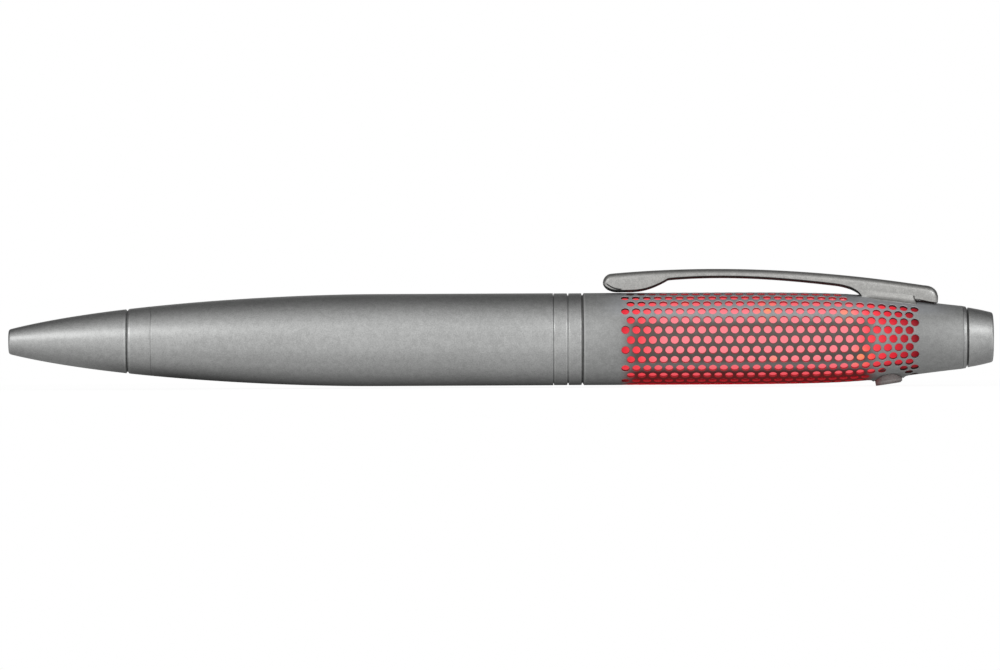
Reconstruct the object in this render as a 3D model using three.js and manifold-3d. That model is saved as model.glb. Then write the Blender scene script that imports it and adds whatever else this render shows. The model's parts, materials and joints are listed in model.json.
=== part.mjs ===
// Twist-action ballpoint pen with a perforated, lit rear half. Millimetres, +Z up.
// The pen lies along X with its writing end at -X and its clip up. Stations are measured along
// the pen from the tip, and radii from its axis.
import * as THREE from "three";
import { mergeGeometries, mergeVertices } from "three/addons/utils/BufferGeometryUtils.js";
import Module from "manifold-3d";

// Lengths of the outer pieces, from the tip to the tail
const NOSE_LENGTH = 16.95;
const FRONT_BAND_LENGTH = 3.36;
const LOWER_BARREL_LENGTH = 57.13;
const CENTRE_RING_LENGTH = 2.07;
const UPPER_BARREL_LENGTH = 54.07;
const END_BAND_LENGTH = 0.6;
const TAIL_CAP_LENGTH = 3.78;

// Outline of the pen: a straight belly that tapers to each end on one curve
const BARREL_RADIUS = 6.55;
const NOSE_END_RADIUS = 1.74;
const NOSE_EDGE = 0.3;
const FRONT_TAPER_LENGTH = 52;
const NOSE_SLOPE = 0.255;
const NOSE_HANDLE = 13.4;
const FRONT_BELLY_HANDLE = 14.1;
const SLEEVE_END_RADIUS = 4.47;
const REAR_TAPER_LENGTH = 35.65;
const REAR_BELLY_HANDLE = 24.5;
const SLEEVE_END_SLOPE = 0.108;
const SLEEVE_END_HANDLE = 14.5;
const TAIL_CAP_RADIUS = 4.27;
const TAIL_END_RADIUS = 3.58;
const TAIL_EDGE = 0.35;

// Walls, seams and gaps
const LOWER_WALL = 0.95;
const SLEEVE_WALL = 0.6;
const SEAM_GAP = 0.06;
const SEAM_CHAMFER = 0.15;
const GROOVE_DEPTH = 0.3;
const TAIL_GROOVE = 0.13;
const FIT_GAP = 0.1;
const RUNNING_GAP = 0.2;
const END_GAP = 0.3;

// Refill, its point drawn in behind the nose
const REFILL_TRAVEL = 4.5;
const POINT_INSET = 1.6;
const REFILL_LENGTH = 68;
const BALL_RADIUS = 0.5;
const TIP_RADIUS = 1.15;
const TIP_CONE_LENGTH = 4;
const TIP_LENGTH = 18;
const TIP_RIM = 0.09;
const TIP_SPIGOT_LENGTH = 4;
const REFILL_RADIUS = 1.5;
const REFILL_WALL = 0.4;

// Nose chamber and return spring
const NOSE_BORE_LENGTH = 8;
const NOSE_BORE_GAP = 0.15;
const THREAD_LENGTH = 4.5;
const SPRING_WIRE = 0.45;
const SPRING_CLEARANCE = 0.2;
const SPRING_CURLS = 8;
const NOSE_WALL = 0.9;

// Twist drive: a lug on the refill's carrier runs in a straight slot and a helical slot
const HALF_TURN = Math.PI;
const DRIVE_WALL = 0.8;
const CARRIER_SOCKET = 7.3;
const CARRIER_TAIL = 6.1;
const LUG_RADIUS = 0.6;
const LUG_FROM_REFILL_END = 3.9;
const GUIDE_FLANGE = 2.5;
const CAM_COLLAR = 1.4;
const PLUG_LENGTH = 4.7;
const BUSH_SPIGOT_WALL = 0.55;

// Lamps, board and diffuser
const DIFFUSER_WALL = 0.8;
const DIFFUSER_GAP = 0.2;
const DIFFUSER_OVER_HOLDER = 2.05;
const BOARD_THICKNESS = 0.8;
const BOARD_WIDTH = 7.6;
const LED_LENGTH = 3.5;
const LED_WIDTH = 2.8;
const LED_HEIGHT = 1.9;
const LEDS_PER_SIDE = 3;
const FIRST_LED_FROM_BOARD_END = 9.5;
const LED_TO_SWITCH_GAP = 1.3;
const SOLDER_GAP = 0.05;
const RESISTOR_SIZE = [2, 1.25, 0.5];

// Push switch and its button, below the board
const BUTTON_FROM_SLEEVE_END = 10.55;
const BUTTON_RADIUS = 1.97;
const BUTTON_PROUD = 0.87;
const BUTTON_SLOPE = 0.135;
const BUTTON_TRAVEL = 0.4;
const BUTTON_FLANGE = 0.38;
const BEZEL_WALL = 0.33;
const BEZEL_PROUD = 0.44;
const BEZEL_DEPTH = 1.42;
const SWITCH_SIDE = 3.4;
const SWITCH_HEIGHT = 1.9;
const PLUNGER_RADIUS = 0.75;
const PLUNGER_LENGTH = 1.2;
const PLUNGER_PROUD = 0.75;

// Button cells and their contacts
const CELL_RADIUS = 3.4;
const CELL_LENGTH = 2.6;
const CELL_EDGE = 0.25;
const CELL_END_FROM_SLEEVE_END = 1.8;
const PLATE_THICKNESS = 0.2;
const HOLDER_WALL = 0.45;
const HOLDER_FLOOR = 0.4;
const CAP_SPIGOT_WALL = 0.7;
const CAP_POCKET_LENGTH = 2.2;
const CONTACT_WIRE = 0.4;
const CONTACT_RADIUS = 1.9;
const CONTACT_CURLS = 4;
const END_BAND_WALL = 0.3;

// Clip, its saddle and its stud
const CLIP_END_FROM_SLEEVE_END = 3.49;
const CLIP_START_FROM_SLEEVE_FRONT = 2.96;
const CLIP_WIDTH = 3.4;
const CLIP_EDGE = 0.3;
const CLIP_REST_GAP = 0.15;
const CLIP_FOOT_GAP = 0.3;
const CLIP_PAD_START = 2.1;
const CLIP_PAD_LENGTH = 1.6;
const CLIP_HEEL_HEIGHT = 1.43;
const CLIP_HEEL_ROUND = 0.96;
const CLIP_ARM_START = 9.3;
const CLIP_ARM_LIFT = 2.16;
const CLIP_ARM_REAR_LIFT = 1.98;
const CLIP_ROOT_LENGTH = 2.9;
const CLIP_ROOT_LIFT = 1.2;
const CLIP_ROOT_EASE = 0.3;
const CLIP_TOP_AT_HEEL = 2.75;
const CLIP_TOP_CREST = 4.08;
const CLIP_TOP_REAR = 3.39;
const CLIP_TOP_AT_TAIL = 2.28;
const CLIP_TAIL_HEIGHT = 1.3;
const CLIP_TAIL_ROUND = 1.12;
const SADDLE_LENGTH = 7.2;
const SADDLE_HEIGHT = 0.65;
const CLIP_OVERHANG = 3.4;
const STUD_RADIUS = 0.8;
const STUD_HEAD_RADIUS = 1.3;
const STUD_HEAD_THICKNESS = 0.5;

// Perforation: staggered rows of six-sided holes, fewer and larger than on the real sleeve
const HOLE_ROWS = 14;
const HOLE_PITCH = 3.4;
const HOLE_RADIUS = 1.15;
const HOLE_FIELD_START = 5.5;
const HOLE_FIELD_END = 6.15;
const HOLE_MARGIN = 0.35;

// Facets round each turned piece
const OUTER_SIDES = 28;
const INNER_SIDES = 20;
const SMALL_SIDES = 16;
const HOLE_SIDES = 6;
const WIRE_SIDES = 5;
const STEPS_PER_CURL = 8;
const OUTER_STEPS = 7;
const INNER_STEPS = 5;
const SHORT_STEPS = 3;
const CAM_STEPS = 14;
const CLIP_CURVE_STEPS = 4;
const FLATNESS = 0.001;
const HALVINGS = 40;

// Where the middle of a rounded corner lies, as a share of its radius from the sharp corner
const ROUND_MIDDLE = 1 - Math.SQRT1_2;

// How far a cutter reaches past what it cuts
const OVERRUN = 1;

// Stations, from the tip
const noseEnd = NOSE_LENGTH;
const frontBandEnd = noseEnd + FRONT_BAND_LENGTH;
const lowerBarrelEnd = frontBandEnd + LOWER_BARREL_LENGTH;
const frontRingEnd = lowerBarrelEnd + CENTRE_RING_LENGTH;
const rearRingEnd = frontRingEnd + CENTRE_RING_LENGTH;
const sleeveEnd = rearRingEnd + UPPER_BARREL_LENGTH;
const endBandEnd = sleeveEnd + END_BAND_LENGTH;
const penLength = endBandEnd + TAIL_CAP_LENGTH;
const buttonStation = sleeveEnd - BUTTON_FROM_SLEEVE_END;
const clipEnd = sleeveEnd - CLIP_END_FROM_SLEEVE_END;
const clipStart = rearRingEnd + CLIP_START_FROM_SLEEVE_FRONT;

const wasm = await Module();
wasm.setup();

// A closed geometry as a solid that can be joined and cut, its faces turned outwards.
function solidOf(geometry) {
  const bare = geometry.index ? geometry.toNonIndexed() : geometry.clone();
  bare.deleteAttribute("normal");
  bare.deleteAttribute("uv");
  const merged = mergeVertices(bare, 1e-4);
  const corners = new Uint32Array(merged.index.array);
  const make = () =>
    new wasm.Manifold(
      new wasm.Mesh({
        numProp: 3,
        vertProperties: merged.attributes.position.array,
        triVerts: corners,
      }),
    );
  const solid = make();
  if (solid.volume() > 0) return solid;
  for (let i = 0; i < corners.length; i += 3) {
    [corners[i + 1], corners[i + 2]] = [corners[i + 2], corners[i + 1]];
  }
  return make();
}

// A solid as a geometry with one flat normal to each face, its flat faces cleared of spare corners.
function geometryOf(solid) {
  const mesh = solid.asOriginal().simplify(FLATNESS).getMesh();
  const indexed = new THREE.BufferGeometry();
  indexed.setAttribute("position", new THREE.BufferAttribute(mesh.vertProperties, 3));
  indexed.setIndex(new THREE.BufferAttribute(mesh.triVerts, 1));
  const flat = indexed.toNonIndexed();
  flat.computeVertexNormals();
  return flat;
}

// A section of [distance along the axis, radius] points turned round the axis. A section that
// touches the axis starts and ends on it, and any other closes on itself.
function turnedOnY(section, sides) {
  const points = section.map(([along, radius]) => new THREE.Vector2(radius, along));
  const onAxis = section[0][1] === 0 && section[section.length - 1][1] === 0;
  if (!onAxis) points.push(points[0].clone());
  if (THREE.ShapeUtils.area(points) < 0) points.reverse();
  return new THREE.LatheGeometry(points, sides);
}

function turned(section, sides = INNER_SIDES) {
  return geometryOf(solidOf(turnedOnY(section, sides).rotateZ(-Math.PI / 2)));
}

function turnedUpright(section, sides = SMALL_SIDES) {
  return geometryOf(solidOf(turnedOnY(section, sides).rotateX(Math.PI / 2)));
}

// A plain tube, or a rod where the inner radius is 0.
function tube(start, end, inner, outer, sides = INNER_SIDES) {
  const section = [
    [start, inner],
    [start, outer],
    [end, outer],
    [end, inner],
  ];
  return turned(section, sides);
}

function box(size, centre) {
  return new THREE.BoxGeometry(...size).translate(...centre);
}

// An outline drawn along the pen and upwards, extruded evenly to both sides of the pen's plane.
function extrudedAcross(shape, width, edge = 0) {
  const depth = width - 2 * edge;
  const options = {
    depth,
    curveSegments: CLIP_CURVE_STEPS,
    bevelEnabled: edge > 0,
    bevelThickness: edge,
    bevelSize: edge,
    bevelOffset: -edge,
    bevelSegments: 1,
  };
  const geometry = new THREE.ExtrudeGeometry(shape, options);
  return geometry.translate(0, 0, -depth / 2).rotateX(Math.PI / 2);
}

// Rings of equally many points skinned into one closed body, with a fan over each end.
function skinned(rings) {
  const positions = [];
  const corner = (point) => positions.push(point.x, point.y, point.z);
  const triangle = (a, b, c) => [a, b, c].forEach(corner);
  const around = rings[0].length;
  for (let i = 0; i + 1 < rings.length; i += 1) {
    for (let j = 0; j < around; j += 1) {
      const next = (j + 1) % around;
      triangle(rings[i][j], rings[i + 1][j], rings[i + 1][next]);
      triangle(rings[i][j], rings[i + 1][next], rings[i][next]);
    }
  }
  const first = rings[0];
  const last = rings[rings.length - 1];
  for (let j = 1; j + 1 < around; j += 1) {
    triangle(first[0], first[j], first[j + 1]);
    triangle(last[0], last[j + 1], last[j]);
  }
  const geometry = new THREE.BufferGeometry();
  geometry.setAttribute("position", new THREE.Float32BufferAttribute(positions, 3));
  return geometryOf(solidOf(geometry));
}

// A coil spring round the pen's axis, as one unbroken wire from end to end.
function coilSpring(label, start, end, meanRadius, wire, curls) {
  const steps = curls * STEPS_PER_CURL;
  const rise = end - start - wire;
  const rings = [];
  const path = [];
  for (let i = 0; i <= steps; i += 1) {
    const turn = (i / STEPS_PER_CURL) * 2 * Math.PI;
    const out = new THREE.Vector3(0, Math.cos(turn), Math.sin(turn));
    const along = start + wire / 2 + (rise * i) / steps;
    const centre = out.clone().multiplyScalar(meanRadius).setX(along);
    const ring = [];
    for (let j = 0; j < WIRE_SIDES; j += 1) {
      const angle = (j / WIRE_SIDES) * 2 * Math.PI;
      const point = centre.clone();
      point.addScaledVector(out, (Math.cos(angle) * wire) / 2);
      point.x += (Math.sin(angle) * wire) / 2;
      ring.push(point);
    }
    path.push(centre);
    rings.push(ring);
  }
  let leastGap = Infinity;
  path.forEach((point, i) => {
    path.slice(i + STEPS_PER_CURL / 2 + 1).forEach((other) => {
      leastGap = Math.min(leastGap, point.distanceTo(other) - wire);
    });
  });
  console.log(`${label}: least gap to itself ${leastGap.toFixed(2)} mm`);
  return skinned(rings);
}

// Outline of the pen
const frontCurve = new THREE.CubicBezierCurve(
  new THREE.Vector2(0, NOSE_END_RADIUS),
  new THREE.Vector2(NOSE_HANDLE, NOSE_END_RADIUS + NOSE_SLOPE * NOSE_HANDLE),
  new THREE.Vector2(FRONT_TAPER_LENGTH - FRONT_BELLY_HANDLE, BARREL_RADIUS),
  new THREE.Vector2(FRONT_TAPER_LENGTH, BARREL_RADIUS),
);
const rearTaperStart = sleeveEnd - REAR_TAPER_LENGTH;
const rearCurve = new THREE.CubicBezierCurve(
  new THREE.Vector2(rearTaperStart, BARREL_RADIUS),
  new THREE.Vector2(rearTaperStart + REAR_BELLY_HANDLE, BARREL_RADIUS),
  new THREE.Vector2(
    sleeveEnd - SLEEVE_END_HANDLE,
    SLEEVE_END_RADIUS + SLEEVE_END_SLOPE * SLEEVE_END_HANDLE,
  ),
  new THREE.Vector2(sleeveEnd, SLEEVE_END_RADIUS),
);

// Height of a curve where it passes a station, found by halving.
function heightOn(curve, along) {
  let low = 0;
  let high = 1;
  for (let i = 0; i < HALVINGS; i += 1) {
    const middle = (low + high) / 2;
    if (curve.getPoint(middle).x < along) low = middle;
    else high = middle;
  }
  return curve.getPoint(low).y;
}

function radiusAt(station) {
  if (station < FRONT_TAPER_LENGTH) return heightOn(frontCurve, station);
  if (station > rearTaperStart) return heightOn(rearCurve, station);
  return BARREL_RADIUS;
}

// Points along the outline, moved inwards by an inset.
function outline(start, end, steps, inset = 0) {
  const points = [];
  for (let i = 0; i <= steps; i += 1) {
    const station = start + ((end - start) * i) / steps;
    points.push([station, radiusAt(station) - inset]);
  }
  return points;
}

// Radii that follow from one another, from the refill outwards
const refillBore = REFILL_RADIUS - REFILL_WALL;
const noseBore = TIP_RADIUS + NOSE_BORE_GAP;
const springMeanRadius = TIP_RADIUS + SPRING_CLEARANCE + SPRING_WIRE / 2;
const chamberRadius = springMeanRadius + SPRING_WIRE / 2 + END_GAP;
const noseSpigotRadius = chamberRadius + NOSE_WALL;
const frontBandBore = noseSpigotRadius + FIT_GAP;
const lowerFrontBore = radiusAt(frontBandEnd) - LOWER_WALL;
const carrierBore = REFILL_RADIUS + FIT_GAP;
const carrierRadius = carrierBore + DRIVE_WALL;
const guideBore = carrierRadius + RUNNING_GAP;
const guideRadius = guideBore + DRIVE_WALL;
const camBore = guideRadius + RUNNING_GAP;
const camRadius = camBore + DRIVE_WALL;
const bushBore = camRadius + RUNNING_GAP;
const lowerBore = BARREL_RADIUS - LOWER_WALL;
const holderBore = CELL_RADIUS + FIT_GAP;
const holderRadius = holderBore + HOLDER_WALL;
const bushRadius = lowerBore - FIT_GAP;
const bushSpigotRadius = bushBore + BUSH_SPIGOT_WALL;
const ringBore = bushSpigotRadius + FIT_GAP;
const sleeveBore = BARREL_RADIUS - SLEEVE_WALL;
const plugRadius = sleeveBore - FIT_GAP;
const endBandBore = CELL_RADIUS + FIT_GAP;
const capSpigotRadius = endBandBore - FIT_GAP;

// Stations that follow from one another
const ballStation = POINT_INSET + BALL_RADIUS;
const tipEnd = POINT_INSET + TIP_LENGTH;
const refillEnd = POINT_INSET + REFILL_LENGTH;
const lugStation = refillEnd + LUG_FROM_REFILL_END;
const guideEnd = lugStation + REFILL_TRAVEL;
const guideFront = refillEnd - CARRIER_SOCKET - REFILL_TRAVEL;
const camFront = guideFront + GUIDE_FLANGE + END_GAP;
const bushFront = camFront + CAM_COLLAR + END_GAP;
const plugFront = rearRingEnd + END_GAP;
const plugEnd = plugFront + PLUG_LENGTH;
const cellsEnd = sleeveEnd - CELL_END_FROM_SLEEVE_END;
const rearCellStart = cellsEnd - CELL_LENGTH;
const frontCellEnd = rearCellStart - FIT_GAP;
const frontCellStart = frontCellEnd - CELL_LENGTH;
const plateEnd = frontCellStart - FIT_GAP;
const plateStart = plateEnd - PLATE_THICKNESS;
const holderFloorEnd = plateStart - FIT_GAP;
const holderStart = holderFloorEnd - HOLDER_FLOOR;
const boardStart = plugEnd + END_GAP;
const boardEnd = holderStart - END_GAP;
const firstLed = boardStart + FIRST_LED_FROM_BOARD_END;
const lastLed = buttonStation - SWITCH_SIDE / 2 - LED_TO_SWITCH_GAP - LED_LENGTH / 2;
const ledPitch = (lastLed - firstLed) / (LEDS_PER_SIDE - 1);
const saddleEnd = clipEnd - CLIP_OVERHANG;
const saddleStart = saddleEnd - SADDLE_LENGTH;
const bezelBore = BUTTON_RADIUS + FIT_GAP;
const bezelRadius = bezelBore + BEZEL_WALL;
const buttonFlangeRadius = BUTTON_RADIUS + BUTTON_FLANGE;

const pen = new THREE.Group();

function add(name, geometry, colour, roughness, metalness, look = {}) {
  const material = new THREE.MeshStandardMaterial({ color: colour, roughness, metalness, ...look });
  const mesh = new THREE.Mesh(geometry, material);
  mesh.name = name;
  pen.add(mesh);
}

const addShell = (name, geometry) => add(name, geometry, 0x8b8d8c, 0.42, 0.9);
const addBrass = (name, geometry) => add(name, geometry, 0xb08d4c, 0.3, 1);
const addSteel = (name, geometry) => add(name, geometry, 0xb9bcc0, 0.25, 1);
const addPlastic = (name, geometry, colour) => add(name, geometry, colour, 0.5, 0);

// Nose cone: outside on the outline, inside a bore for the point and a chamber for the spring
function noseCone() {
  const spigotEnd = noseEnd + THREAD_LENGTH;
  const shoulder = radiusAt(noseEnd - GROOVE_DEPTH);
  const corner = NOSE_EDGE * ROUND_MIDDLE;
  const section = [
    [0, noseBore],
    [0, NOSE_END_RADIUS - NOSE_EDGE],
    [corner, NOSE_END_RADIUS - corner],
    ...outline(NOSE_EDGE, noseEnd - GROOVE_DEPTH, OUTER_STEPS),
    [noseEnd - SEAM_GAP, shoulder - GROOVE_DEPTH],
    [noseEnd - SEAM_GAP, noseSpigotRadius],
    [spigotEnd, noseSpigotRadius],
    [spigotEnd, chamberRadius],
    [NOSE_BORE_LENGTH, chamberRadius],
    [NOSE_BORE_LENGTH, noseBore],
  ];
  return turned(section, OUTER_SIDES);
}

// Front band: threaded on the nose cone's spigot in front, and into the barrel behind
function frontBand() {
  const spigotRadius = lowerFrontBore - FIT_GAP;
  const spigotEnd = frontBandEnd + THREAD_LENGTH;
  const section = [
    [noseEnd, frontBandBore],
    [noseEnd, radiusAt(noseEnd) - GROOVE_DEPTH],
    [noseEnd + GROOVE_DEPTH, radiusAt(noseEnd + GROOVE_DEPTH)],
    [frontBandEnd - SEAM_GAP, radiusAt(frontBandEnd)],
    [frontBandEnd - SEAM_GAP, spigotRadius],
    [spigotEnd, spigotRadius],
    [spigotEnd, frontBandBore],
  ];
  return turned(section, OUTER_SIDES);
}

function lowerBarrel() {
  const front = frontBandEnd;
  const rear = lowerBarrelEnd;
  const seatEnd = frontBandEnd + THREAD_LENGTH + END_GAP;
  const section = [
    [front, lowerFrontBore],
    ...outline(front, FRONT_TAPER_LENGTH, OUTER_STEPS),
    [rear - SEAM_CHAMFER, BARREL_RADIUS],
    [rear, BARREL_RADIUS - SEAM_CHAMFER],
    [rear, lowerBore],
    ...outline(seatEnd, FRONT_TAPER_LENGTH, SHORT_STEPS, LOWER_WALL).reverse(),
    [seatEnd, lowerFrontBore],
  ];
  return turned(section, OUTER_SIDES);
}

function centreRing(start) {
  const front = start + SEAM_GAP;
  const rear = start + CENTRE_RING_LENGTH - SEAM_GAP;
  const section = [
    [front, ringBore],
    [front, BARREL_RADIUS - SEAM_CHAMFER],
    [front + SEAM_CHAMFER, BARREL_RADIUS],
    [rear - SEAM_CHAMFER, BARREL_RADIUS],
    [rear, BARREL_RADIUS - SEAM_CHAMFER],
    [rear, ringBore],
  ];
  return turned(section, OUTER_SIDES);
}

function bearingBush() {
  const step = lowerBarrelEnd - END_GAP;
  const rear = rearRingEnd - END_GAP;
  const section = [
    [bushFront, bushBore],
    [bushFront, bushRadius],
    [step, bushRadius],
    [step, bushSpigotRadius],
    [rear, bushSpigotRadius],
    [rear, bushBore],
  ];
  return turned(section);
}

// Twist guide: its flange is held in the barrel, and its slot keeps the lug from turning
function twistGuide() {
  const flangeEnd = guideFront + GUIDE_FLANGE;
  const section = [
    [guideFront, guideBore],
    [guideFront, bushRadius],
    [flangeEnd, bushRadius],
    [flangeEnd, guideRadius],
    [guideEnd, guideRadius],
    [guideEnd, guideBore],
  ];
  const slotWidth = 2 * (LUG_RADIUS + RUNNING_GAP);
  const slot = box(
    [REFILL_TRAVEL + slotWidth, guideRadius, slotWidth],
    [lugStation - REFILL_TRAVEL / 2, guideRadius, 0],
  );
  return geometryOf(solidOf(turned(section)).subtract(solidOf(slot)));
}

// Cam sleeve: its helical slot draws the lug forwards by the travel in half a turn
function camSleeve() {
  const collarEnd = camFront + CAM_COLLAR;
  const section = [
    [camFront, camBore],
    [camFront, bushRadius],
    [collarEnd, bushRadius],
    [collarEnd, camRadius],
    [plugFront, camRadius],
    [plugFront, plugRadius],
    [plugEnd, plugRadius],
    [plugEnd, camBore],
  ];
  const overrun = (LUG_RADIUS + RUNNING_GAP) / camBore;
  const slope = REFILL_TRAVEL / (HALF_TURN * camBore);
  const halfWidth = (LUG_RADIUS + RUNNING_GAP) * Math.hypot(1, slope);
  const rings = [];
  for (let i = 0; i <= CAM_STEPS; i += 1) {
    const turn = -overrun + ((HALF_TURN + 2 * overrun) * i) / CAM_STEPS;
    const along = lugStation - (REFILL_TRAVEL * turn) / HALF_TURN;
    const at = (radius, offset) =>
      new THREE.Vector3(along + offset, radius * Math.cos(turn), -radius * Math.sin(turn));
    rings.push([
      at(camBore - END_GAP, -halfWidth),
      at(camBore - END_GAP, halfWidth),
      at(camRadius + END_GAP, halfWidth),
      at(camRadius + END_GAP, -halfWidth),
    ]);
  }
  return geometryOf(solidOf(turned(section)).subtract(solidOf(skinned(rings))));
}

function refillCarrier() {
  const front = refillEnd - CARRIER_SOCKET;
  const floor = refillEnd + END_GAP;
  const rear = refillEnd + CARRIER_TAIL;
  const section = [
    [floor, 0],
    [floor, carrierBore],
    [front, carrierBore],
    [front, carrierRadius],
    [rear, carrierRadius],
    [rear, 0],
  ];
  const lugLength = camRadius - carrierBore;
  const lug = new THREE.CylinderGeometry(LUG_RADIUS, LUG_RADIUS, lugLength, SMALL_SIDES);
  lug.translate(lugStation, carrierBore + lugLength / 2, 0);
  return geometryOf(solidOf(turned(section)).add(solidOf(lug)));
}

function refillTip() {
  const rim = ballStation + BALL_RADIUS / 5;
  const pocket = BALL_RADIUS + TIP_RIM / 2;
  const pocketEnd = ballStation + BALL_RADIUS + TIP_RIM;
  const section = [
    [pocketEnd, 0],
    [pocketEnd, pocket],
    [rim, pocket],
    [rim, pocket + TIP_RIM],
    [rim + TIP_CONE_LENGTH, TIP_RADIUS],
    [tipEnd, TIP_RADIUS],
    [tipEnd, refillBore - FIT_GAP],
    [tipEnd + TIP_SPIGOT_LENGTH, refillBore - FIT_GAP],
    [tipEnd + TIP_SPIGOT_LENGTH, 0],
  ];
  return turned(section, SMALL_SIDES);
}

function writingBall() {
  return new THREE.SphereGeometry(BALL_RADIUS, SMALL_SIDES, SMALL_SIDES / 2).translate(ballStation, 0, 0);
}

function returnSpring() {
  const front = NOSE_BORE_LENGTH + FIT_GAP;
  return coilSpring(
    "return_spring",
    front,
    tipEnd,
    springMeanRadius,
    SPRING_WIRE,
    SPRING_CURLS,
  );
}

// Perforation: one cutter for every hole that clears the clip's saddle and the button's bezel
function holeCutters() {
  const cutters = [];
  const start = rearRingEnd + HOLE_FIELD_START + HOLE_RADIUS;
  const end = sleeveEnd - HOLE_FIELD_END - HOLE_RADIUS;
  for (let row = 0; row < HOLE_ROWS; row += 1) {
    const angle = ((row + 0.5) * 2 * Math.PI) / HOLE_ROWS;
    const first = start + (row % 2) * (HOLE_PITCH / 2);
    for (let station = first; station <= end; station += HOLE_PITCH) {
      const radius = radiusAt(station);
      const side = radius * Math.sin(angle);
      const up = Math.cos(angle);
      const reach = HOLE_RADIUS + HOLE_MARGIN;
      const besideSaddle = station > saddleStart - reach && station < saddleEnd + reach;
      const underClip = up > 0 && besideSaddle && Math.abs(side) < CLIP_WIDTH / 2 + reach;
      const toButton = Math.hypot(station - buttonStation, side);
      const atButton = up < 0 && toButton < bezelRadius + reach;
      if (underClip || atButton) continue;
      const depth = 2 * SLEEVE_WALL;
      const hole = new THREE.CylinderGeometry(HOLE_RADIUS, HOLE_RADIUS, depth, HOLE_SIDES);
      hole.rotateY(Math.PI / HOLE_SIDES).rotateX(Math.PI / 2);
      hole.translate(0, 0, radius - SLEEVE_WALL / 2).rotateX(-angle).translate(station, 0, 0);
      cutters.push(hole);
    }
  }
  return solidOf(mergeGeometries(cutters));
}

function upperBarrel() {
  const front = rearRingEnd + FIT_GAP;
  const section = [
    [front, sleeveBore],
    [front, BARREL_RADIUS - SEAM_CHAMFER],
    [front + SEAM_CHAMFER, BARREL_RADIUS],
    ...outline(rearTaperStart, sleeveEnd, OUTER_STEPS),
    ...outline(rearTaperStart, sleeveEnd, INNER_STEPS, SLEEVE_WALL).reverse(),
  ];
  const buttonHole = new THREE.CylinderGeometry(
    bezelRadius + FIT_GAP,
    bezelRadius + FIT_GAP,
    BARREL_RADIUS,
    INNER_SIDES,
  );
  buttonHole.rotateX(Math.PI / 2).translate(buttonStation, 0, -BARREL_RADIUS);
  const studHole = new THREE.CylinderGeometry(
    STUD_RADIUS + FIT_GAP,
    STUD_RADIUS + FIT_GAP,
    BARREL_RADIUS,
    SMALL_SIDES,
  );
  studHole.rotateX(Math.PI / 2).translate((saddleStart + saddleEnd) / 2, 0, BARREL_RADIUS);
  const shell = solidOf(turned(section, OUTER_SIDES));
  return geometryOf(
    shell.subtract(holeCutters()).subtract(solidOf(buttonHole)).subtract(solidOf(studHole)),
  );
}

function endBand() {
  const spigotRadius = endBandBore + END_BAND_WALL;
  const front = cellsEnd + END_GAP;
  const lip = radiusAt(sleeveEnd);
  const section = [
    [front, endBandBore],
    [front, spigotRadius],
    [sleeveEnd + SEAM_GAP, spigotRadius],
    [sleeveEnd + SEAM_GAP, lip],
    [endBandEnd - SEAM_CHAMFER, lip],
    [endBandEnd, lip - SEAM_CHAMFER],
    [endBandEnd, endBandBore],
  ];
  return turned(section, OUTER_SIDES);
}

function tailCap() {
  const spigotFront = cellsEnd + 2 * END_GAP;
  const face = endBandEnd + TAIL_GROOVE;
  const pocketRadius = capSpigotRadius - CAP_SPIGOT_WALL;
  const pocketEnd = face + CAP_POCKET_LENGTH;
  const corner = TAIL_EDGE * ROUND_MIDDLE;
  const section = [
    [pocketEnd, 0],
    [pocketEnd, pocketRadius],
    [spigotFront, pocketRadius],
    [spigotFront, capSpigotRadius],
    [face, capSpigotRadius],
    [face, TAIL_CAP_RADIUS - SEAM_CHAMFER],
    [face + SEAM_CHAMFER, TAIL_CAP_RADIUS],
    [penLength - TAIL_EDGE, TAIL_END_RADIUS],
    [penLength - corner, TAIL_END_RADIUS - corner],
    [penLength, TAIL_END_RADIUS - TAIL_EDGE],
    [penLength, 0],
  ];
  return turned(section, OUTER_SIDES);
}

function contactSpring() {
  const rear = endBandEnd + TAIL_GROOVE + CAP_POCKET_LENGTH - FIT_GAP;
  const front = cellsEnd + FIT_GAP;
  return coilSpring("contact_spring", front, rear, CONTACT_RADIUS, CONTACT_WIRE, CONTACT_CURLS);
}

// Diffuser: a moulded tube under the holes, notched for the button and the clip's stud. Its wall
// gets thinner at the rear, where it reaches over the battery holder.
function diffuserTube() {
  const rear = holderStart + DIFFUSER_OVER_HOLDER;
  const inset = SLEEVE_WALL + DIFFUSER_GAP;
  const narrowest = holderRadius + RUNNING_GAP;
  const bore = outline(rearTaperStart, rear, OUTER_STEPS, inset + DIFFUSER_WALL)
    .map(([station, radius]) => [station, Math.max(radius, narrowest)]);
  const section = [
    [boardStart, BARREL_RADIUS - inset],
    ...outline(rearTaperStart, rear, OUTER_STEPS, inset),
    ...bore.reverse(),
    [boardStart, BARREL_RADIUS - inset - DIFFUSER_WALL],
  ];
  const notchWidth = 2 * (buttonFlangeRadius + RUNNING_GAP);
  const notchFront = buttonStation - bezelRadius - END_GAP;
  const notchLength = rear + OVERRUN - notchFront;
  const notch = box(
    [notchLength, notchWidth, 2 * BARREL_RADIUS],
    [notchFront + notchLength / 2, 0, 0],
  );
  return geometryOf(solidOf(turned(section)).subtract(solidOf(notch)));
}

function ledBoard() {
  const length = boardEnd - boardStart;
  return box([length, BOARD_WIDTH, BOARD_THICKNESS], [boardStart + length / 2, 0, 0]);
}

// A chip on the board, on its upper face (side 1) or its lower face (side -1).
function chip(size, station, side) {
  const height = BOARD_THICKNESS / 2 + SOLDER_GAP + size[2] / 2;
  return box(size, [station, 0, side * height]);
}

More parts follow.
